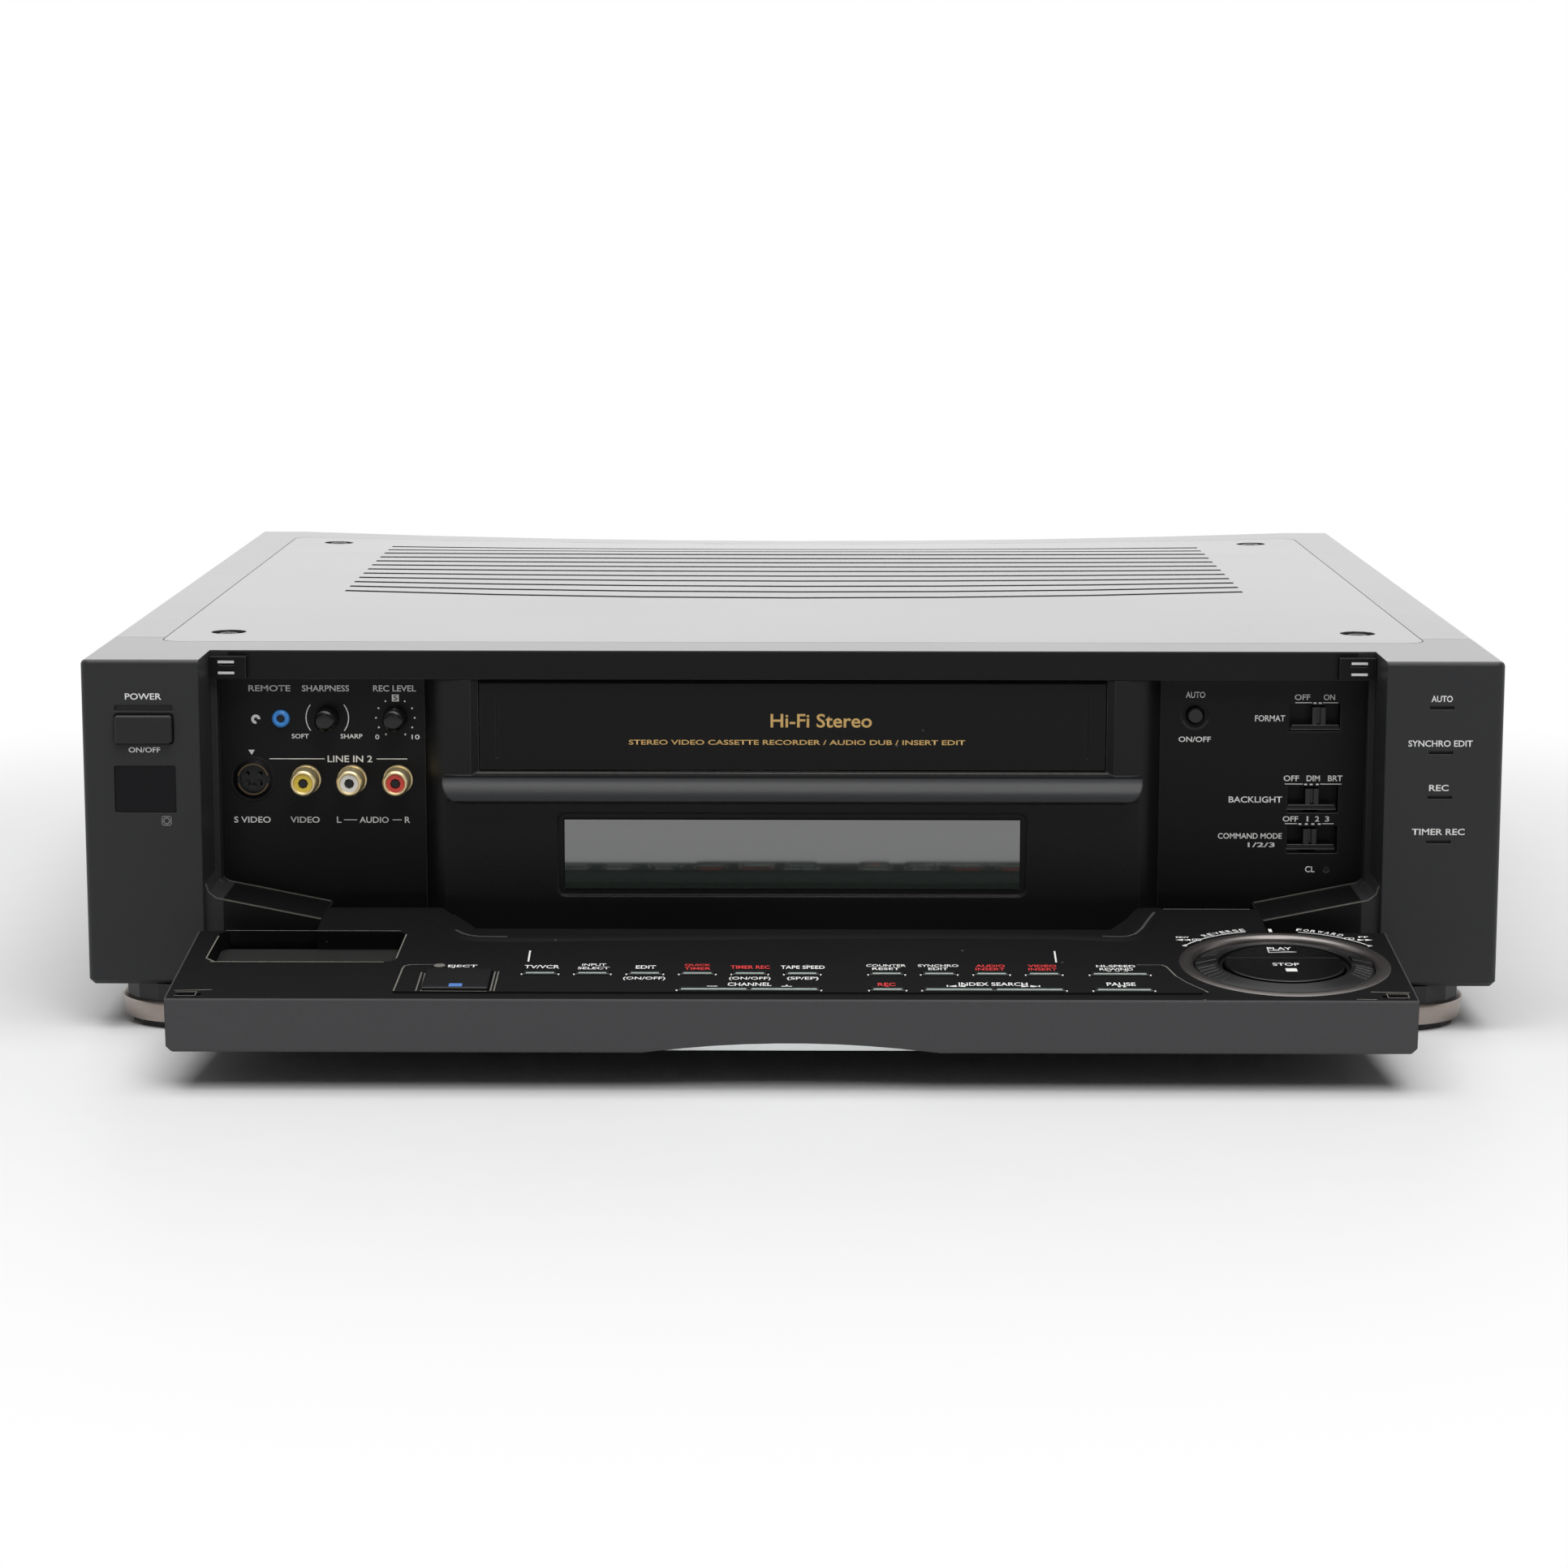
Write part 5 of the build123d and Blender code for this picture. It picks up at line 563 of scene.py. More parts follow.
for text, x, z, width, height in (
    ("REMOTE", -162.0, 101.3, 13.0, 1.95), ("SHARPNESS", -144.6, 101.3, 14.6, 1.95),
    ("REC LEVEL", -123.2, 101.3, 13.3, 1.95), ("SOFT", -152.7, 86.3, 5.3, 1.45),
    ("SHARP", -136.8, 86.3, 6.8, 1.45), ("0", -128.8, 86.1, 1.3, 1.5), ("10", -116.9, 86.1, 2.5, 1.5),
    ("LINE IN 2", -137.4, 79.2, 13.9, 2.1), ("S VIDEO", -168.1, 60.0, 11.4, 1.95),
    ("VIDEO", -151.7, 60.0, 9.1, 1.95), ("L", -141.1, 60.0, 1.4, 1.95), ("AUDIO", -130.2, 60.0, 9.1, 1.95),
    ("R", -119.8, 60.0, 1.7, 1.95), ("AUTO", 124.7, 99.7, 6.0, 1.95), ("ON/OFF", 124.7, 85.8, 10.0, 1.7),
    ("FORMAT", 147.9, 92.4, 9.3, 1.95), ("OFF", 157.8, 99.0, 4.8, 1.8), ("ON", 166.1, 99.0, 3.5, 1.8),
    ("BACKLIGHT", 143.9, 66.9, 16.6, 1.95), ("OFF", 154.9, 73.6, 4.8, 1.8), ("DIM", 161.7, 73.6, 4.1, 1.8),
    ("BRT", 168.5, 73.6, 4.5, 1.8), ("OFF", 154.9, 60.8, 4.8, 1.7), ("1", 160.2, 60.8, 0.5, 1.7),
    ("2", 163.2, 60.8, 1.3, 1.7), ("3", 166.3, 60.8, 1.3, 1.7), ("COMMAND MODE", 142.4, 55.4, 19.9, 1.8),
    ("1/2/3", 146.0, 52.6, 8.4, 1.5), ("CL", 161.3, 44.9, 3.0, 1.95),
):
    add_word("front_words", PANEL, text, (x, z), width, height)
group("box_five", PRINT, "machine")
add_quad("box_five", PANEL, (-124.1, -121.9), (97.2, 99.4))
group("dark_five", RECESS, "machine")
add_word("dark_five", PANEL, "5", (-123.0, 98.3), 1.2, 1.6, 0.06)
for x0, x1, z in ((-162.4, -145.3, 79.2), (-129.1, -119.6, 79.2), (-139.6, -135.5, 60.0),
                  (-124.4, -121.6, 60.0)):
    add_line("front_words", PANEL, (x0, z), (x1, z), 0.28)
add_triangle("front_words", PANEL, [(-168.9, 82.0), (-167.9, 80.4), (-166.9, 82.0)])
# arcs beside the sharpness knob, and the dots round the level knob, which leave out the one marked 5
for middle in (180, 0):
    add_arc("front_words", PANEL, SHARPNESS, 6.6, 0.3, middle - 38, middle + 38, 12)
for index in (0, 1, 2, 3, 4, 6, 7, 8, 9, 10):
    add_disk("front_words", PANEL, around(6.0, math.radians(240 - index * 30), LEVEL), 0.3, steps=8)
# round symbol beside the control socket, and the small symbol under the sensor window
add_arc("front_words", PANEL, (-166.4, 91.6), 1.0, 0.9, 0, 280, 16)
add_arc("front_dim", PILLAR, (-189.8, 64.8), 0.9, 0.35, 0, 360, 16)
for x, z in (((-191.3, -188.3), (63.3, 63.6)), ((-191.3, -188.3), (66.0, 66.3)),
             ((-191.3, -191.0), (63.3, 66.3)), ((-188.6, -188.3), (63.3, 66.3))):
    add_quad("front_dim", PILLAR, x, z)
# scales of the slide switches
for y0, marks, run in ((97.3, (161.7, 163.3), (155.6, 168.9)), (71.8, (159.4, 161.1, 163.0), (152.9, 170.5)),
                       (59.3, (157.9, 159.9, 161.9, 163.9), (153.2, 168.3))):
    add_line("front_words", PANEL, (run[0], y0), (marks[0] - 0.9, y0), 0.24)
    add_line("front_words", PANEL, (marks[-1] + 0.9, y0), (run[1], y0), 0.24)
    for mark in marks:
        add_quad("front_words", PANEL, (mark - 0.45, mark + 0.45), (y0 - 0.35, y0 + 0.12))
# painted highlights, with dust, along the edges of the two shelves, on their front face and where they meet
# the panel
group("shelf_edges", EDGE_DUST_AND_HIGHLIGHT, "machine")
SHELF = ((179.0, 45.0), (178.1, 42.3), (175.8, 40.5), (144.0, 34.1))
for y, drop in ((SHELF_Y, -0.25), (PANEL_Y - 0.05, 0.15)):
    for side in (-1, 1):
        ends = [(side * x, z + drop) for x, z in SHELF]
        for start, end in zip(ends, ends[1:]):
            add_line("shelf_edges", facing_front(y), start, end, 0.4)
# painted highlights on the edges of the cassette slot's frame
group("slot_edges", EDGE_DUST_AND_HIGHLIGHT, "machine")
add_line("slot_edges", facing_front(SLOT_Y), (-97.6, 75.72), (97.6, 75.72), 0.4)
for x in (-97.25, 97.25):
    add_line("slot_edges", facing_front(SLOT_SIDE_Y), (x, 76.4), (x, 104.6), 0.25)
# bright bars on the flap latches
group("latch_bars", PRINT, "machine")
for side in (-1, 1):
    for z in (110.7, 107.3):
        x = sorted((side * 171.4, side * 176.4))
        add_quad("latch_bars", facing_front(LATCH_Y), x, (z - 0.4, z + 0.4), 0.02)

# ------------------------------------------------------------------ gold lettering on the cassette door
group("door_words", PRINT_GOLD, "door")
DOOR_FACE = facing_front(DOOR_Y)
add_word("door_words", DOOR_FACE, "Hi-Fi Stereo", (8.9, 92.0), 31.3, 4.3)
add_word("door_words", DOOR_FACE, "STEREO VIDEO CASSETTE RECORDER / AUDIO DUB / INSERT EDIT", (1.4, 85.2),
         104.0, 1.55)

# ------------------------------------------------------------------ flap: words, key edges, end marks
FLAT = on_flap(0.0)
# raised key panel, the frames drawn on it, and the tops of the keys
FLAP = on_flap(0.6)
OUTLINE = on_flap(0.62)
KEY_TOP = on_flap(1.1)
EJECT_TOP = on_flap(1.5)


def add_flap_line(name, plane, start, end, width, height=INK):
    """Line between two (x, u) places on the flap."""
    add_line(name, plane, (start[0], -start[1]), (end[0], -end[1]), width, height)


group("flap_words", PRINT, "flap")
group("flap_red", PRINT_RED, "flap")
for text, x, u, width, height in (
    ("TV/VCR", -72.7, 58.2, 10.2, 3.2), ("INPUT", -57.6, 56.2, 7.0, 2.3), ("SELECT", -57.6, 59.4, 9.2, 2.3),
    ("EDIT", -42.4, 58.3, 5.9, 3.2), ("(ON/OFF)", -42.5, 69.3, 12.2, 3.4),
    ("TAPE SPEED", 3.3, 58.2, 12.8, 3.2), ("(ON/OFF)", -12.0, 69.2, 12.0, 3.4),
    ("(SP/EP)", 3.3, 69.1, 9.1, 3.4), ("CHANNEL", -12.0, 74.5, 12.6, 3.2), ("COUNTER", 27.6, 56.4, 11.6, 2.3),
    ("RESET", 27.5, 59.5, 8.0, 2.3), ("SYNCHRO", 42.8, 56.4, 11.8, 2.3), ("EDIT", 42.7, 59.5, 5.7, 2.3),
    ("INDEX SEARCH", 58.0, 74.0, 19.8, 3.2), ("HI-SPEED", 94.6, 56.6, 11.4, 2.3),
    ("REWIND", 94.5, 59.6, 9.7, 2.3), ("PAUSE", 94.8, 73.8, 8.3, 3.2), ("EJECT", -95.9, 58.0, 8.5, 3.0),
):
    add_word("flap_words", FLAP, text, (x, -u), width, height, FLAP_INK)
for text, x, u, width, height in (
    ("QUICK", -27.4, 56.4, 7.6, 2.3), ("TIMER", -27.3, 59.6, 7.6, 2.3), ("TIMER REC", -12.0, 58.2, 11.4, 3.2),
    ("AUDIO", 58.0, 56.5, 8.5, 2.3), ("INSERT", 57.8, 59.7, 8.5, 2.3), ("VIDEO", 73.1, 56.5, 8.3, 2.3),
    ("INSERT", 73.1, 59.7, 8.3, 2.3), ("REC", 27.4, 74.4, 5.1, 3.0),
):
    add_word("flap_red", FLAP, text, (x, -u), width, height, FLAP_INK)
add_disk("flap_red", FLAP, (27.5, -76.9), 0.8, FLAP_INK, steps=12)
# channel signs, index search arrows, pause bars and rewind arrows
for start, end, width in (((-24.2, 76.4), (-21.2, 76.4), 0.6), ((-2.8, 76.4), (0.2, 76.4), 0.6),
                          ((-1.3, 75.0), (-1.3, 77.8), 0.5)):
    add_flap_line("flap_words", FLAP, start, end, width, FLAP_INK)
for side in (-1, 1):
    x = 58.0 + side * 10.6
    for step in (-1.4, 1.2):
        base, tip = x + side * (step - 1.2), x + side * (step + 1.2)
        add_triangle("flap_words", FLAP, [(base, -75.0), (base, -77.0), (tip, -76.0)], FLAP_INK)
    add_flap_line("flap_words", FLAP, (x + side * 2.6, 75.0), (x + side * 2.6, 77.0), 0.4, FLAP_INK)
for x in (94.1, 95.6):
    add_quad("flap_words", FLAP, (x - 0.4, x + 0.4), (-77.4, -75.4), FLAP_INK)
for x in (91.8, 94.3, 96.8):
    add_triangle("flap_words", FLAP, [(x - 1.2, -61.9), (x + 1.0, -62.7), (x + 1.0, -61.1)], FLAP_INK)
# white marks on both sides of the dial's recess
for start, end in (((-77.4, 40.4), (-77.2, 51.2)), ((77.8, 40.0), (77.6, 51.0))):
    add_flap_line("flap_words", FLAT, start, end, 0.5, 0.05)

# painted highlights on the lower edges of the keys, by the row's u and the key's width
ROW_ONE = 65.9
ROW_TWO = 80.8
NARROW = 10.0
WIDE = 17.0
ROCKER = 40.7
ROWS = (
    (ROW_ONE, NARROW, (("source_key", -72.85), ("input_key", -57.65), ("edit_key", -42.45),
                       ("quick_timer_key", -27.25), ("timer_key", -12.05), ("speed_key", 3.15),
                       ("counter_key", 27.6), ("sync_key", 42.8), ("audio_insert_key", 58.0),
                       ("video_insert_key", 73.2))),
    (ROW_ONE, WIDE, (("fast_rewind_key", 95.2),)), (ROW_TWO, NARROW, (("record_key", 27.6),)),
    (ROW_TWO, WIDE, (("pause_key", 95.2),)),
    (ROW_TWO, ROCKER, (("channel_rocker_key", -12.1), ("index_rocker_key", 58.1))),
)
for u, width, body, x in [(u, width, body, x) for u, width, keys in ROWS for body, x in keys]:
    name = group("solid_edge_" + body, KEY_EDGE_HIGHLIGHT, body)
    half = width / 2 - 0.9
    spans = [(x - half, x + half)]
    if "rocker" in body:
        spans = [(x - half, x - 0.7), (x + 0.7, x + half)]
    for low, high in spans:
        add_block(name, KEY_TOP, (low, high), (-u + 0.15, -u + 0.95), (-0.3, 0.16), 0.12)
    group("key_ends", PRINT, "flap")
    for side in (-1, 1):
        spot = x + side * (width / 2 + 0.35)
        add_block("key_ends", FLAP, (spot - 0.22, spot + 0.22), (-u + 0.05, -u + 1.1), (-0.2, 0.1))
# blue mark on the eject key
group("eject_mark", BLUE_PRINT, "eject_key")
add_quad("eject_mark", EJECT_TOP, (-98.1, -94.3), (-79.8, -76.9), 0.04)

# ------------------------------------------------------------------ dial
ARC_RADIUS = 32.7
RIM = on_dial(0.02)
FACE = on_dial(0.0)
DISK = on_dial(0.36)
group("dial_words", PRINT, "flap")
for start, end in ((104, 148), (32, 76)):
    add_arc("dial_words", RIM, (0, 0), ARC_RADIUS, 0.45, start, end, 24, FLAP_INK)
for word, first, step, radius in (("REVERSE", 126.2, 3.6, 34.7), ("FORWARD", 76.0, 3.55, 35.0)):
    for index, letter in enumerate(word):
        place = turned(RIM, first - index * step - 90)
        add_word("dial_words", place, letter, (0, radius), 1.6, 2.3, FLAP_INK)
# search arrows and the small tape frames beside them, then the arrow heads on the ends of the arcs
for side, middle, y in ((-1, -27.5, 23.5), (1, 27.0, 23.8)):
    for step in (-1.15, 1.15):
        base, tip = middle + side * (step - 1.15), middle + side * (step + 1.15)
        add_triangle("dial_words", RIM, [(tip, y), (base, y + 0.85), (base, y - 0.85)], FLAP_INK)
for x, y, width in ((-23.4, 23.7, 2.4), (22.4, 25.2, 2.7)):
    for rise in (-0.75, 0.75):
        add_line("dial_words", RIM, (x - width / 2, y + rise), (x + width / 2, y + rise), 0.35, FLAP_INK)
    for run in (-width / 2, 0.0, width / 2):
        add_line("dial_words", RIM, (x + run, y - 0.75), (x + run, y + 0.75), 0.3, FLAP_INK)
for side, angle in ((-1, 148.0), (1, 32.0)):
    head = [(ARC_RADIUS - 0.8, 0.0), (ARC_RADIUS + 0.8, 0.0), (ARC_RADIUS, side * 2.6)]
    add_triangle("dial_words", turned(RIM, angle), head, FLAP_INK)
add_word("dial_words", RIM, "REW", (-27.4, 26.1), 3.9, 1.6, FLAP_INK)
add_word("dial_words", RIM, "FF", (26.8, 26.7), 2.9, 1.7, FLAP_INK)
add_quad("dial_words", RIM, (-0.8, 0.2), (31.8, 34.9), FLAP_INK)
# the disk of the dial is two keys, split along a straight line above its middle
KEY_SPLIT = 5.0
KEY_GAP = 0.16
KEY_LOOPS = [(17.1, 0.36), (17.35, 0.34), (17.6, 0.15), (17.6, -0.6)]
KEY_STEPS = 48
for half, body, side, first in (("solid_play", "play_key", 1, 0), ("solid_stop", "stop_key", -1, 180)):
    group(half, KNOB, body)
    points = []
    for radius, height in KEY_LOOPS:
        lean = side * math.degrees(math.asin((KEY_SPLIT + side * KEY_GAP / 2) / radius))
        low, high = first + lean, first + 180 - lean
        for index in range(KEY_STEPS + 1):
            turn = math.radians(low + (high - low) * index / KEY_STEPS)
            points.append((*around(radius, turn), height))
    count = KEY_STEPS + 1
    faces = [tuple(range(count))]
    for loop in range(0, len(points) - count, count):
        for index in range(count):
            beside = (index + 1) % count
            faces.append((loop + index, loop + beside, loop + count + beside, loop + count + index))
    add_faces(half, FACE, points, faces)
group("play_words", PRINT, "play_key")
group("stop_words", PRINT, "stop_key")
add_word("play_words", DISK, "PLAY", (0.1, 14.0), 7.2, 2.6)
for start, end in (((-3.4, 10.0), (4.8, 10.6)), ((-3.4, 12.2), (-3.4, 10.0)), ((-3.4, 12.2), (4.8, 10.6))):
    add_line("play_words", DISK, start, end, 0.3)
add_word("stop_words", DISK, "STOP", (0.2, -1.5), 7.8, 2.7)
add_quad("stop_words", DISK, (-0.5, 2.8), (-8.4, -5.4))
# smooth dial ring and shuttle ring with its grips and ribs
group("solid_dial_ring", RING, "flap")
add_lathe("solid_dial_ring", FACE, [
    (26.5, -4.3), (26.5, -1.0), (26.7, -0.5), (27.1, 0.0), (27.8, 0.35), (28.6, 0.48), (29.5, 0.42),
    (30.3, 0.25), (31.0, -0.05), (29.6, -0.4), (29.6, -4.3), (26.5, -4.3)], 96)
group("solid_shuttle", SHUTTLE, "shuttle")
add_lathe("solid_shuttle", FACE, [
    (19.35, -4.3), (19.35, 0.1), (19.6, 0.3), (22.8, -0.35), (25.8, -1.1), (26.2, -1.35), (26.2, -4.3),
    (19.35, -4.3)], 96)
group("solid_ribs", SHUTTLE, "shuttle")


def cone_rise(radius):
    """Height of the shuttle ring's slope over the dial's plane."""
    return 0.3 - 0.225 * (radius - 19.6)


def add_wedge(name, turn, half_low, half_high, reach, lift):
    """Raised bar on the shuttle ring's slope, pointing at the dial's axis."""
    points = []
    for half, rise in ((half_low, -0.3), (half_high, lift)):
        for r in reach:
            wide = half * r / reach[1]
            points += [(r, -wide, cone_rise(r) + rise), (r, wide, cone_rise(r) + rise)]
    sides = [(0, 2, 3, 1), (4, 5, 7, 6), (0, 4, 6, 2), (1, 3, 7, 5), (0, 1, 5, 4), (2, 6, 7, 3)]
    add_faces(name, turned(FACE, turn), points, sides)


for turn in (8.0, 172.0):
    add_wedge("solid_ribs", turn, 3.0, 2.4, (19.9, 25.8), 1.0)
for turn in (149, 153, 157, 161, 184, 190, 196, 202, 208, 214, 24, 29, 34, 39, 44, -4, -10, -16, -22, -28):
    add_wedge("solid_ribs", turn, 0.4, 0.12, (20.6, 25.6), 0.3)

# ------------------------------------------------------------------ flap: rolled edge, outlines, scoop
def sweep(name, matrix, path, profile):
    """Band along a path; the profile gives (offset towards the free edge, height) pairs."""
    points = []
    for index, (x, u) in enumerate(path):
        before = path[max(0, index - 1)]
        after = path[min(len(path) - 1, index + 1)]
        run = Vector((after[0] - before[0], before[1] - after[1]))
        run.normalize()
        side = Vector((run.y, -run.x))
        for offset, height in profile:
            points.append((x + side.x * offset, -u + side.y * offset, height))
    count = len(profile)
    faces = []
    for index in range(len(path) - 1):
        for step in range(count - 1):
            first = index * count + step
            faces.append((first, first + 1, first + count + 1, first + count))
    add_faces(name, matrix, points, faces)


# rolled edge round the dial's field, as (x, u) places
ROLL = [
    (-109.3, 6.0), (-106.0, 12.0), (-103.3, 16.9), (-101.0, 21.7), (-98.8, 25.0), (-96.3, 27.2),
    (-93.4, 28.3), (-85.0, 28.6), (-66.0, 28.0), (-28.0, 26.5), (6.0, 25.0), (42.0, 24.4), (79.0, 25.0),
    (93.0, 26.8), (97.5, 27.4), (100.5, 26.8), (103.0, 24.4), (105.4, 18.9), (108.1, 9.75), (110.7, 1.8),
    (112.6, -2.6)]
group("solid_roll", FLAP_FACE, "flap")
sweep("solid_roll", FLAT, ROLL, [
    (-7.0, -0.2), (-6.0, 0.05), (-4.0, 0.35), (-2.0, 0.6), (-0.5, 0.72), (0.5, 0.7), (1.5, 0.5), (2.6, 0.05),
    (3.0, -0.2)])
# its two corners are lighter: wear with a painted highlight
group("roll_corner_highlight", ROLL_WEAR_AND_HIGHLIGHT, "flap")
sweep("roll_corner_highlight", FLAT, ROLL[3:8], [(-0.45, 0.735), (0.0, 0.745), (0.45, 0.72)])
sweep("roll_corner_highlight", FLAT, ROLL[13:20], [(-0.4, 0.735), (0.0, 0.745), (0.4, 0.725)])
# painted highlights, with dust, along the outlines of the key panel, the eject key's frame and the strike
group("edge_lines", EDGE_DUST_AND_HIGHLIGHT, "flap")
for start, end, width in (
    ((-113.7, 81.2), (-113.2, 59.7), 0.45), ((-113.2, 59.7), (-112.8, 57.2), 0.45),
    ((-112.8, 57.2), (-111.4, 56.3), 0.4), ((-111.4, 56.3), (-104.0, 56.0), 0.25),
    ((100.7, 55.2), (108.2, 55.2), 0.25), ((108.2, 55.2), (109.3, 56.6), 0.4),
    ((109.3, 56.6), (111.3, 65.8), 0.45), ((111.3, 65.8), (113.8, 71.8), 0.3),
    ((113.8, 71.8), (118.4, 79.7), 0.3), ((118.4, 79.7), (119.0, 81.2), 0.55),
    ((-107.3, 63.6), (-107.3, 81.3), 0.4), ((-106.2, 64.5), (-105.8, 81.3), 0.4),
    ((-86.0, 62.8), (-86.0, 81.2), 0.4), ((-85.0, 62.8), (-85.0, 81.2), 0.4),
    ((-106.2, 81.2), (-87.0, 81.4), 0.35),
):
    add_flap_line("edge_lines", OUTLINE, start, end, width)
add_disk("edge_lines", OUTLINE, (-102.7, -56.9), 1.7)
# the same painted highlight lines, drawn on the flap's own plane round the lead pocket and near the flap's
# ends
for start, end, width in (
    ((165.9, 78.5), (176.8, 79.3), 0.5), ((170.1, 80.3), (170.1, 84.0), 0.25),
    ((170.1, 80.3), (176.1, 80.6), 0.3), ((176.1, 80.6), (176.1, 84.0), 0.25),
    ((170.1, 84.0), (176.1, 84.0), 0.4), ((160.9, 85.4), (166.6, 85.6), 0.4),
    ((-165.9, 78.5), (-176.8, 79.3), 0.35), ((-170.1, 80.3), (-170.1, 84.0), 0.25),
    ((-170.1, 80.3), (-176.1, 80.6), 0.3), ((-170.1, 84.0), (-176.1, 84.0), 0.3),
    ((-171.8, 26.0), (-172.2, 48.5), 0.4), ((-172.0, 48.5), (-169.5, 51.6), 0.5),
    ((140.4, -3.9), (114.0, -3.9), 0.35), ((-170.5, 20.5), (-117.6, 20.5), 0.35),
    ((-170.5, 51.8), (-119.6, 51.8), 0.5), ((-115.7, 24.0), (-116.3, 48.0), 0.4),
):
    add_flap_line("edge_lines", FLAT, start, end, width)
# floor of the lead pocket
group("solid_pocket_floor", POCKET, "flap")
add_block("solid_pocket_floor", FLAT, (-171.7, -116.3), (-51.2, -21.1), (-6.9, -5.7))
# finger scoop: bevel between the arc on the free edge and the outer face, coloured near-white as a painted
# reflection of the floor
SCOOP_HALF = 43.0
SCOOP_RADIUS = 316.875
SCOOP_RISE = 3.0
SCOOP_STEPS = 40
SCOOP_HEIGHT = -15.95
group("solid_scoop", SCOOP_REFLECTION, "flap")
points = []
for step in range(SCOOP_STEPS + 1):
    x = SCOOP_HALF * (2 * step / SCOOP_STEPS - 1)
    rise = math.sqrt(SCOOP_RADIUS ** 2 - x * x) - SCOOP_RADIUS + SCOOP_RISE
    points += [(x, -86.95, SCOOP_HEIGHT + rise), (x, -84.5, SCOOP_HEIGHT)]
add_faces("solid_scoop", FLAT, points, strip(SCOOP_STEPS))

# ------------------------------------------------------------------ sockets, knobs, screws, feet
group("solid_jacks", GILT, "machine")
group("jack_holes", BLACK, "machine")
for centre in JACKS:
    place = at(PANEL, *centre)
    add_lathe("solid_jacks", place, [
        (2.6, 0.3), (2.6, 8.3), (2.75, 8.9), (3.1, 9.3), (3.55, 9.35), (3.95, 9.0), (4.15, 8.3), (4.15, 1.4),
        (4.2, 1.2), (4.55, 1.1), (4.6, 0.2)], 40)
    add_disk("jack_holes", place, (0, 0), 1.2, INSERT_FACE + 0.04)
group("solid_collar", BLUE, "machine")
place = at(PANEL, *CONTROL_SOCKET)
add_lathe("solid_collar", place, [
    (1.2, -0.6), (1.2, 0.9), (1.45, 1.3), (2.0, 1.45), (2.5, 1.2), (2.75, 0.7), (2.8, 0.0)], 36)
add_disk("jack_holes", place, (0, 0), 1.21, 0.3)
group("solid_pins", BRONZE, "machine")
place = at(PANEL, *S_VIDEO)
for start, end in ((15, 165), (195, 345)):
    add_arc("solid_pins", place, (0, 0), 4.75, 0.28, start, end, 24, 0.7)
for x, y in ((-2, 1.4), (2, 1.4), (-1.8, -1.2), (1.8, -1.2)):
    add_disk("jack_holes", place, (x, y), 0.55, 0.66, 12)
add_quad("jack_holes", place, (-0.9, 0.9), (-3.0, -1.8), 0.66)
group("solid_dish", RECESS, "machine")
add_lathe("solid_dish", place, [(5.0, 0.66), (5.3, 0.5), (6.4, 0.12), (6.9, 0.3), (7.1, 0.0)])
# small reset hole and the sloped lower edges of the switch wells
group("reset_hole", BLACK, "machine")
add_disk("reset_hole", PANEL, RESET, 1.0, 0.04)
# lighter arc on the lower rim of the reset hole: painted highlight
group("reset_rim", EDGE_DUST_AND_HIGHLIGHT, "machine")
add_arc("reset_rim", PANEL, RESET, 1.05, 0.14, 200, 340, 12, 0.05)
group("well_slopes", BUTTON, "machine")
group("well_edges", PRINT_DIM, "machine")
for x0, x1, z0 in ((154.2, 169.6, 89.0), (153.6, 168.9, 63.9), (153.6, 168.9, 51.4)):
    upper = [(x1 - 0.5, z0 + 1.3), (x0 + 0.5, z0 + 1.3)]
    add_faces("well_slopes", PANEL, [(x0, z0, 0.06), (x1, z0, 0.06), (*upper[0], -0.25), (*upper[1], -0.25)],
              [(0, 1, 2, 3)])
    add_line("well_edges", PANEL, upper[1], upper[0], 0.16, 0.02)
    add_line("well_edges", PANEL, (x0, z0 - 0.05), (x1, z0 - 0.05), 0.12, 0.08)
# lighter arc on the lower side of the picture button's dish: painted light on the dish's lower wall
group("picture_ring", BUTTON, "machine")
add_arc("picture_ring", PANEL, PICTURE, 4.0, 0.9, 200, 340, 24, 0.06)
# ribbed knobs, each with a pointer on its face
KNOB_SIDE = [(0.0, 8.0), (2.0, 8.05), (2.7, 7.9), (3.2, 7.4), (3.45, 6.6), (3.8, 0.6), (3.85, 0.2)]
for node, body, centre, angle in (("sharpness_knob", "sharpness_dial", SHARPNESS, 0),
                                  ("level_knob", "level_dial", LEVEL, -20)):
    name = group("solid_" + node, KNOB, body)
    place = turned(at(PANEL, *centre), angle)
    add_lathe(name, place, KNOB_SIDE, 96, ribs=24, rib_depth=0.22, rib_range=(4, 6))
    add_block(name, place, (-0.3, 0.3), (1.2, 2.6), (7.9, 8.12))
# screws in the top plate, with crossed slots, and in the cover's sides
TOP_SEAT = TOP - 1.19
SIDE_SEAT = 215.0
TOP_SCREW = [(0.0, 0.75), (1.1, 0.8), (1.15, 0.95), (2.6, 0.85), (3.7, 0.45), (4.15, 0.0)]
SIDE_SCREW = [(0.0, 0.9), (1.1, 0.95), (1.15, 1.1), (3.2, 0.8), (4.1, 0.3), (4.18, 0.0)]
group("solid_screws", SCREW, "machine")
for x, y in ((-180.0, 69.0), (180.0, 69.0), (-179.0, 355.0), (179.0, 355.0)):
    place = at(on_top(TOP_SEAT), x, y)
    add_lathe("solid_screws", place, TOP_SCREW, 32)
    for angle in (20, 110):
        add_block("solid_screws", turned(place, angle), (-1.9, 1.9), (-0.28, 0.28), (0.8, 0.98))
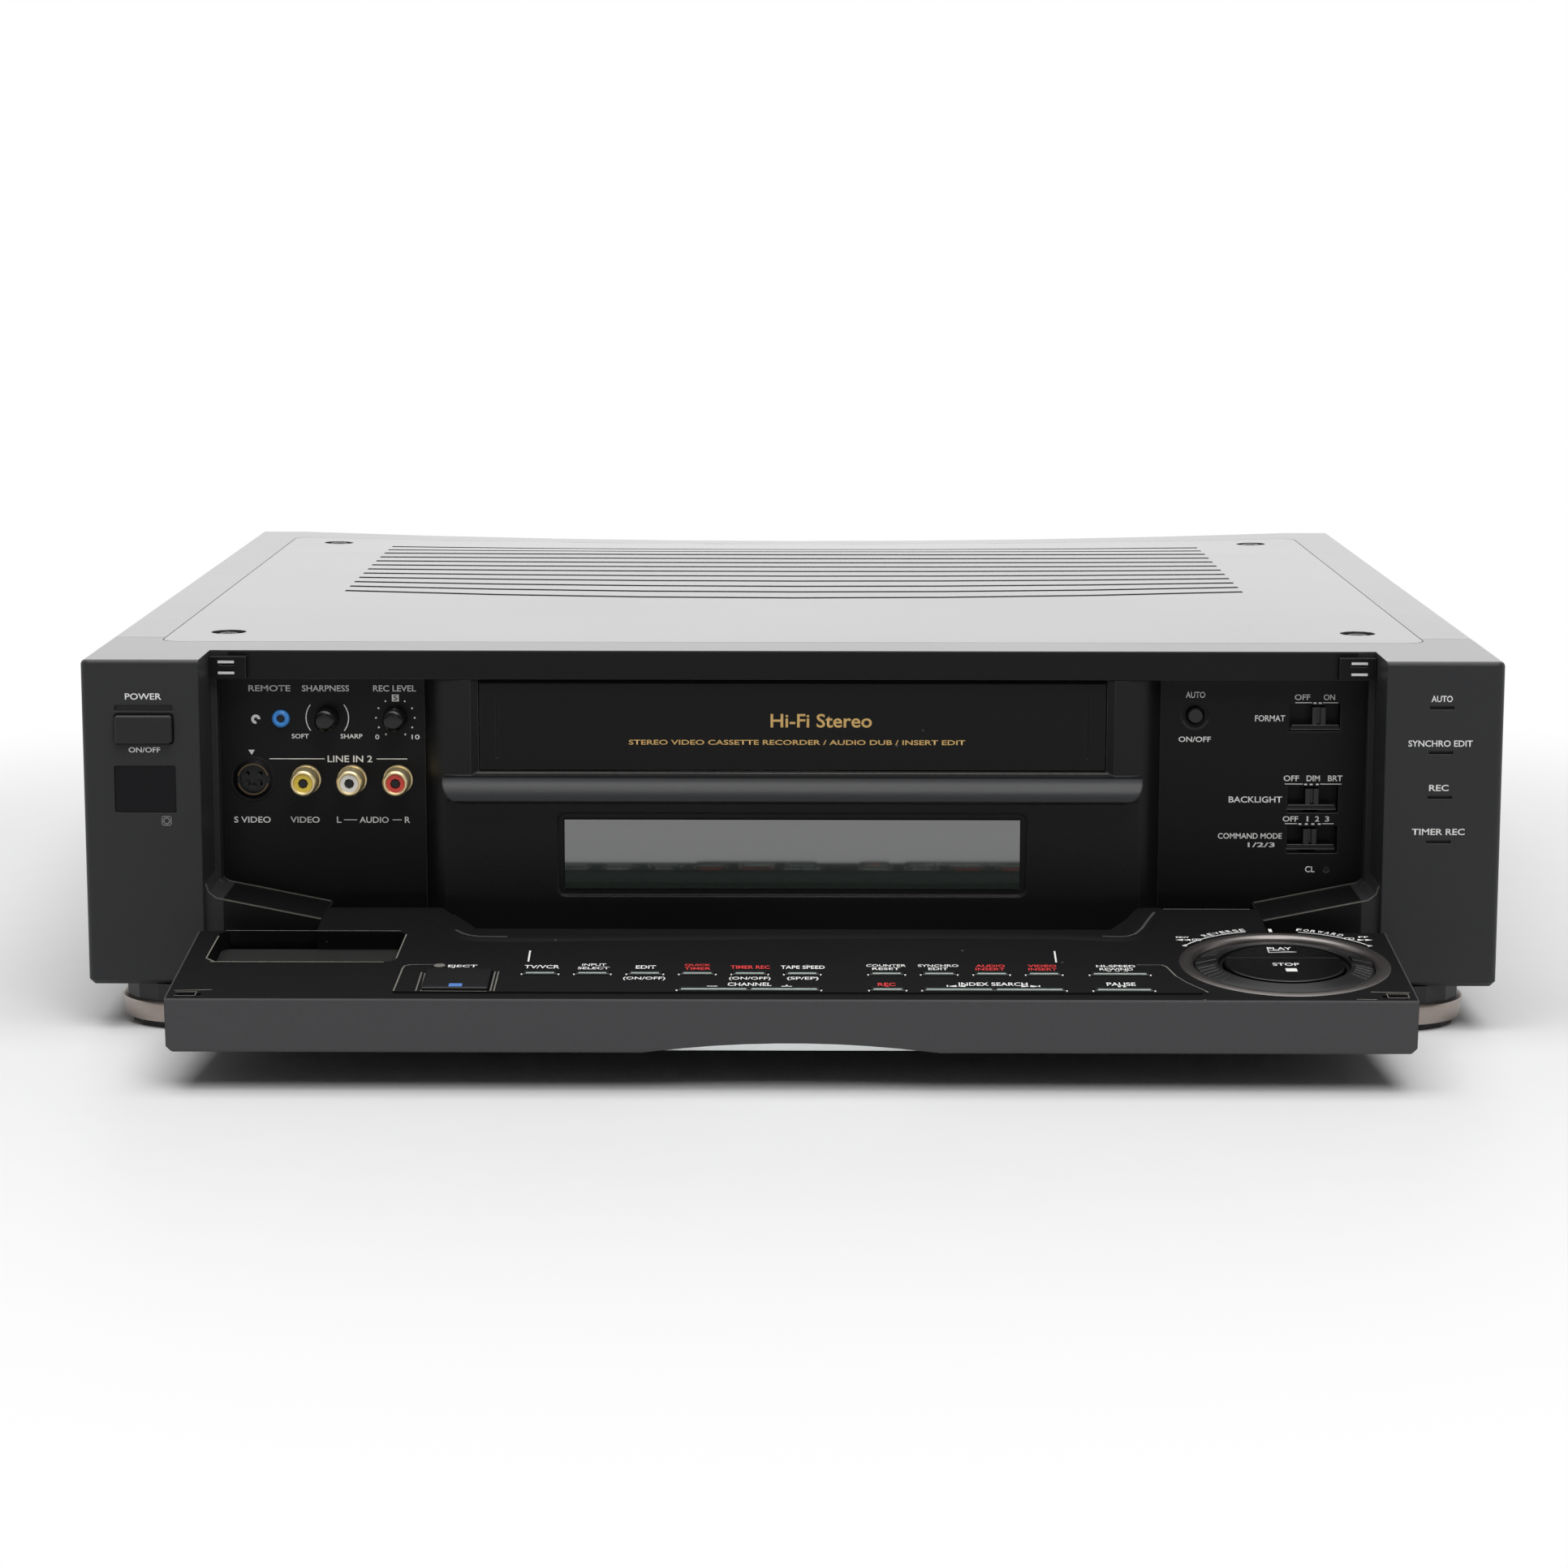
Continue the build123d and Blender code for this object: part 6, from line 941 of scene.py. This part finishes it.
for side in (-1, 1):
    outward = Matrix.Rotation(math.radians(90 * side), 4, "Y")
    for y in (90.0, 340.0):
        add_lathe("solid_screws", at(on_top(36.0), side * SIDE_SEAT, y) @ outward, SIDE_SCREW, 32)
FOOT_RING = [(16.2, 2.05), (20.6, 2.05), (21.1, 2.3), (21.9, 7.6), (21.7, 8.2), (21.0, 8.45), (16.2, 8.45)]
group("solid_foot_rings", FOOT_METAL, "machine")
for x in (-186.0, 186.0):
    for y in (20.0, 360.0):
        add_lathe("solid_foot_rings", at(on_top(0), x, y), FOOT_RING, 72)

# ------------------------------------------------------------------ rear lettering
REAR = facing_rear(REAR_Y)
group("rear_words", PRINT, "machine")
for text, x, z, width, height in (("LINE IN", -100.0, 66.5, 14.0, 2.2), ("LINE OUT", -68.0, 66.5, 16.0, 2.2),
                                  ("VIDEO", -45.0, 38.0, 9.0, 1.8), ("AUDIO", -45.0, 54.0, 9.0, 1.8),
                                  ("AC IN", -186.0, 44.0, 10.0, 2.2)):
    add_word("rear_words", REAR, text, (x, z), width, height)

set_words()
PIECES = make_pieces()
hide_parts("rca_jacks")
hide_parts("dial_bezel")
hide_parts("shuttle_ring")
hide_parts("play_button")
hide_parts("stop_button")
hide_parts("control_socket")
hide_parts("sharpness_knob")
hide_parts("level_knob")
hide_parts("case_screws")
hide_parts("foot_rings")

# ------------------------------------------------------------------ floor, light, camera
FLOOR_HALF = 6.0
# the floor turns into plain white between these distances from the middle, in metres
FADE_START = 0.27
FADE_END = 0.6
floor_mesh = bpy.data.meshes.new("floor")
corners = [(-FLOOR_HALF, -FLOOR_HALF, 0), (FLOOR_HALF, -FLOOR_HALF, 0), (FLOOR_HALF, FLOOR_HALF, 0),
           (-FLOOR_HALF, FLOOR_HALF, 0)]
floor_mesh.from_pydata(corners, [], [(0, 1, 2, 3)])
floor = bpy.data.objects.new("floor", floor_mesh)
bpy.context.scene.collection.objects.link(floor)
paper = surface("floor_white", (0.82, 0.82, 0.825), vary=0.012, grain=60, bump=0.0, blotch=2)
floor_mesh.materials.append(paper)
tree = paper.node_tree
reach = tree.nodes.new("ShaderNodeVectorMath")
reach.operation = "LENGTH"
tree.links.new(tree.nodes.new("ShaderNodeTexCoord").outputs["Object"], reach.inputs[0])
fade = mapped(tree, reach.outputs["Value"], FADE_START, FADE_END, smooth=True)
ray = tree.nodes.new("ShaderNodeLightPath").outputs
seen = joined(tree, "MAXIMUM", ray["Is Camera Ray"], ray["Is Glossy Ray"])
mixed = tree.nodes.new("ShaderNodeMixShader")
tree.links.new(joined(tree, "MULTIPLY", fade, seen), mixed.inputs[0])
tree.links.new(tree.nodes["Principled BSDF"].outputs["BSDF"], mixed.inputs[1])
tree.links.new(tree.nodes.new("ShaderNodeEmission").outputs["Emission"], mixed.inputs[2])
tree.links.new(mixed.outputs["Shader"], tree.nodes["Material Output"].inputs["Surface"])
floor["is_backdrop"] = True

# The camera sees a white world, and so does light that passes through a pane. Other light gets a dim one,
# and reflections see it brighten from the front, where the photo shows a dark room, to the back.
DIFFUSE_STRENGTH = 0.13
ROOM_STRENGTH = 0.12
world = bpy.data.worlds.new("studio")
bpy.context.scene.world = world
world.use_nodes = True
tree = world.node_tree
background = tree.nodes["Background"]
background.inputs["Color"].default_value = (1, 1, 1, 1)
ray = tree.nodes.new("ShaderNodeLightPath").outputs
seen = joined(tree, "MAXIMUM", ray["Is Camera Ray"], ray["Is Transmission Ray"])
parts = tree.nodes.new("ShaderNodeSeparateXYZ")
tree.links.new(tree.nodes.new("ShaderNodeTexCoord").outputs["Generated"], parts.inputs["Vector"])
mirrored = tree.nodes.new("ShaderNodeMix")
tree.links.new(ray["Is Glossy Ray"], mirrored.inputs[0])
mirrored.inputs[2].default_value = DIFFUSE_STRENGTH
room = mapped(tree, parts.outputs["Y"], -0.5, 0.2, ROOM_STRENGTH, 1.0, smooth=True)
tree.links.new(room, mirrored.inputs[3])
tree.links.new(joined(tree, "MAXIMUM", seen, mirrored.outputs[0]), background.inputs["Strength"])


def softbox(name, place, aim, width, energy):
    light = bpy.data.lights.new(name, "AREA")
    light.shape = "RECTANGLE"
    light.size = width
    light.size_y = width * 0.7
    light.energy = energy
    lamp = bpy.data.objects.new(name, light)
    lamp.location = place
    lamp.rotation_euler = (Vector(aim) - Vector(place)).to_track_quat("-Z", "Y").to_euler()
    bpy.context.scene.collection.objects.link(lamp)


softbox("overhead", (0.0, -0.4, 1.7), (0, -0.4, 0), 1.9, 27)
softbox("front", (0.55, -2.2, 2.6), (0, 0, 0.05), 1.6, 34)

# the photo's camera: focal length in the photo's pixels, angles, and the eye in metres from the bezel
PHOTO_WIDTH = 1932
FOCAL_PIXELS = 4715.1
SENSOR_WIDTH = 36.0
PITCH = math.radians(9.3695)
YAW = math.radians(0.2611)
ROLL = math.radians(0.0578)
EYE = Vector((0.00275, -1.1432 + FRONT / 1000, 0.2651))
ahead = Vector((-math.sin(YAW) * math.cos(PITCH), math.cos(YAW) * math.cos(PITCH), -math.sin(PITCH)))
right = Vector((math.cos(YAW), math.sin(YAW), 0))
above = right.cross(ahead)
across = right * math.cos(ROLL) + above * math.sin(ROLL)
upward = above * math.cos(ROLL) - right * math.sin(ROLL)
camera_data = bpy.data.cameras.new("camera")
camera_data.sensor_width = SENSOR_WIDTH
camera_data.lens = FOCAL_PIXELS / PHOTO_WIDTH * SENSOR_WIDTH
camera_data.clip_start = 0.01
camera = bpy.data.objects.new("camera", camera_data)
basis = Matrix((across, upward, -ahead)).transposed().to_4x4()
basis.translation = EYE
camera.matrix_world = basis
bpy.context.scene.collection.objects.link(camera)
bpy.context.scene.camera = camera
bpy.context.scene.view_settings.view_transform = "Standard"

low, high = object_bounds()
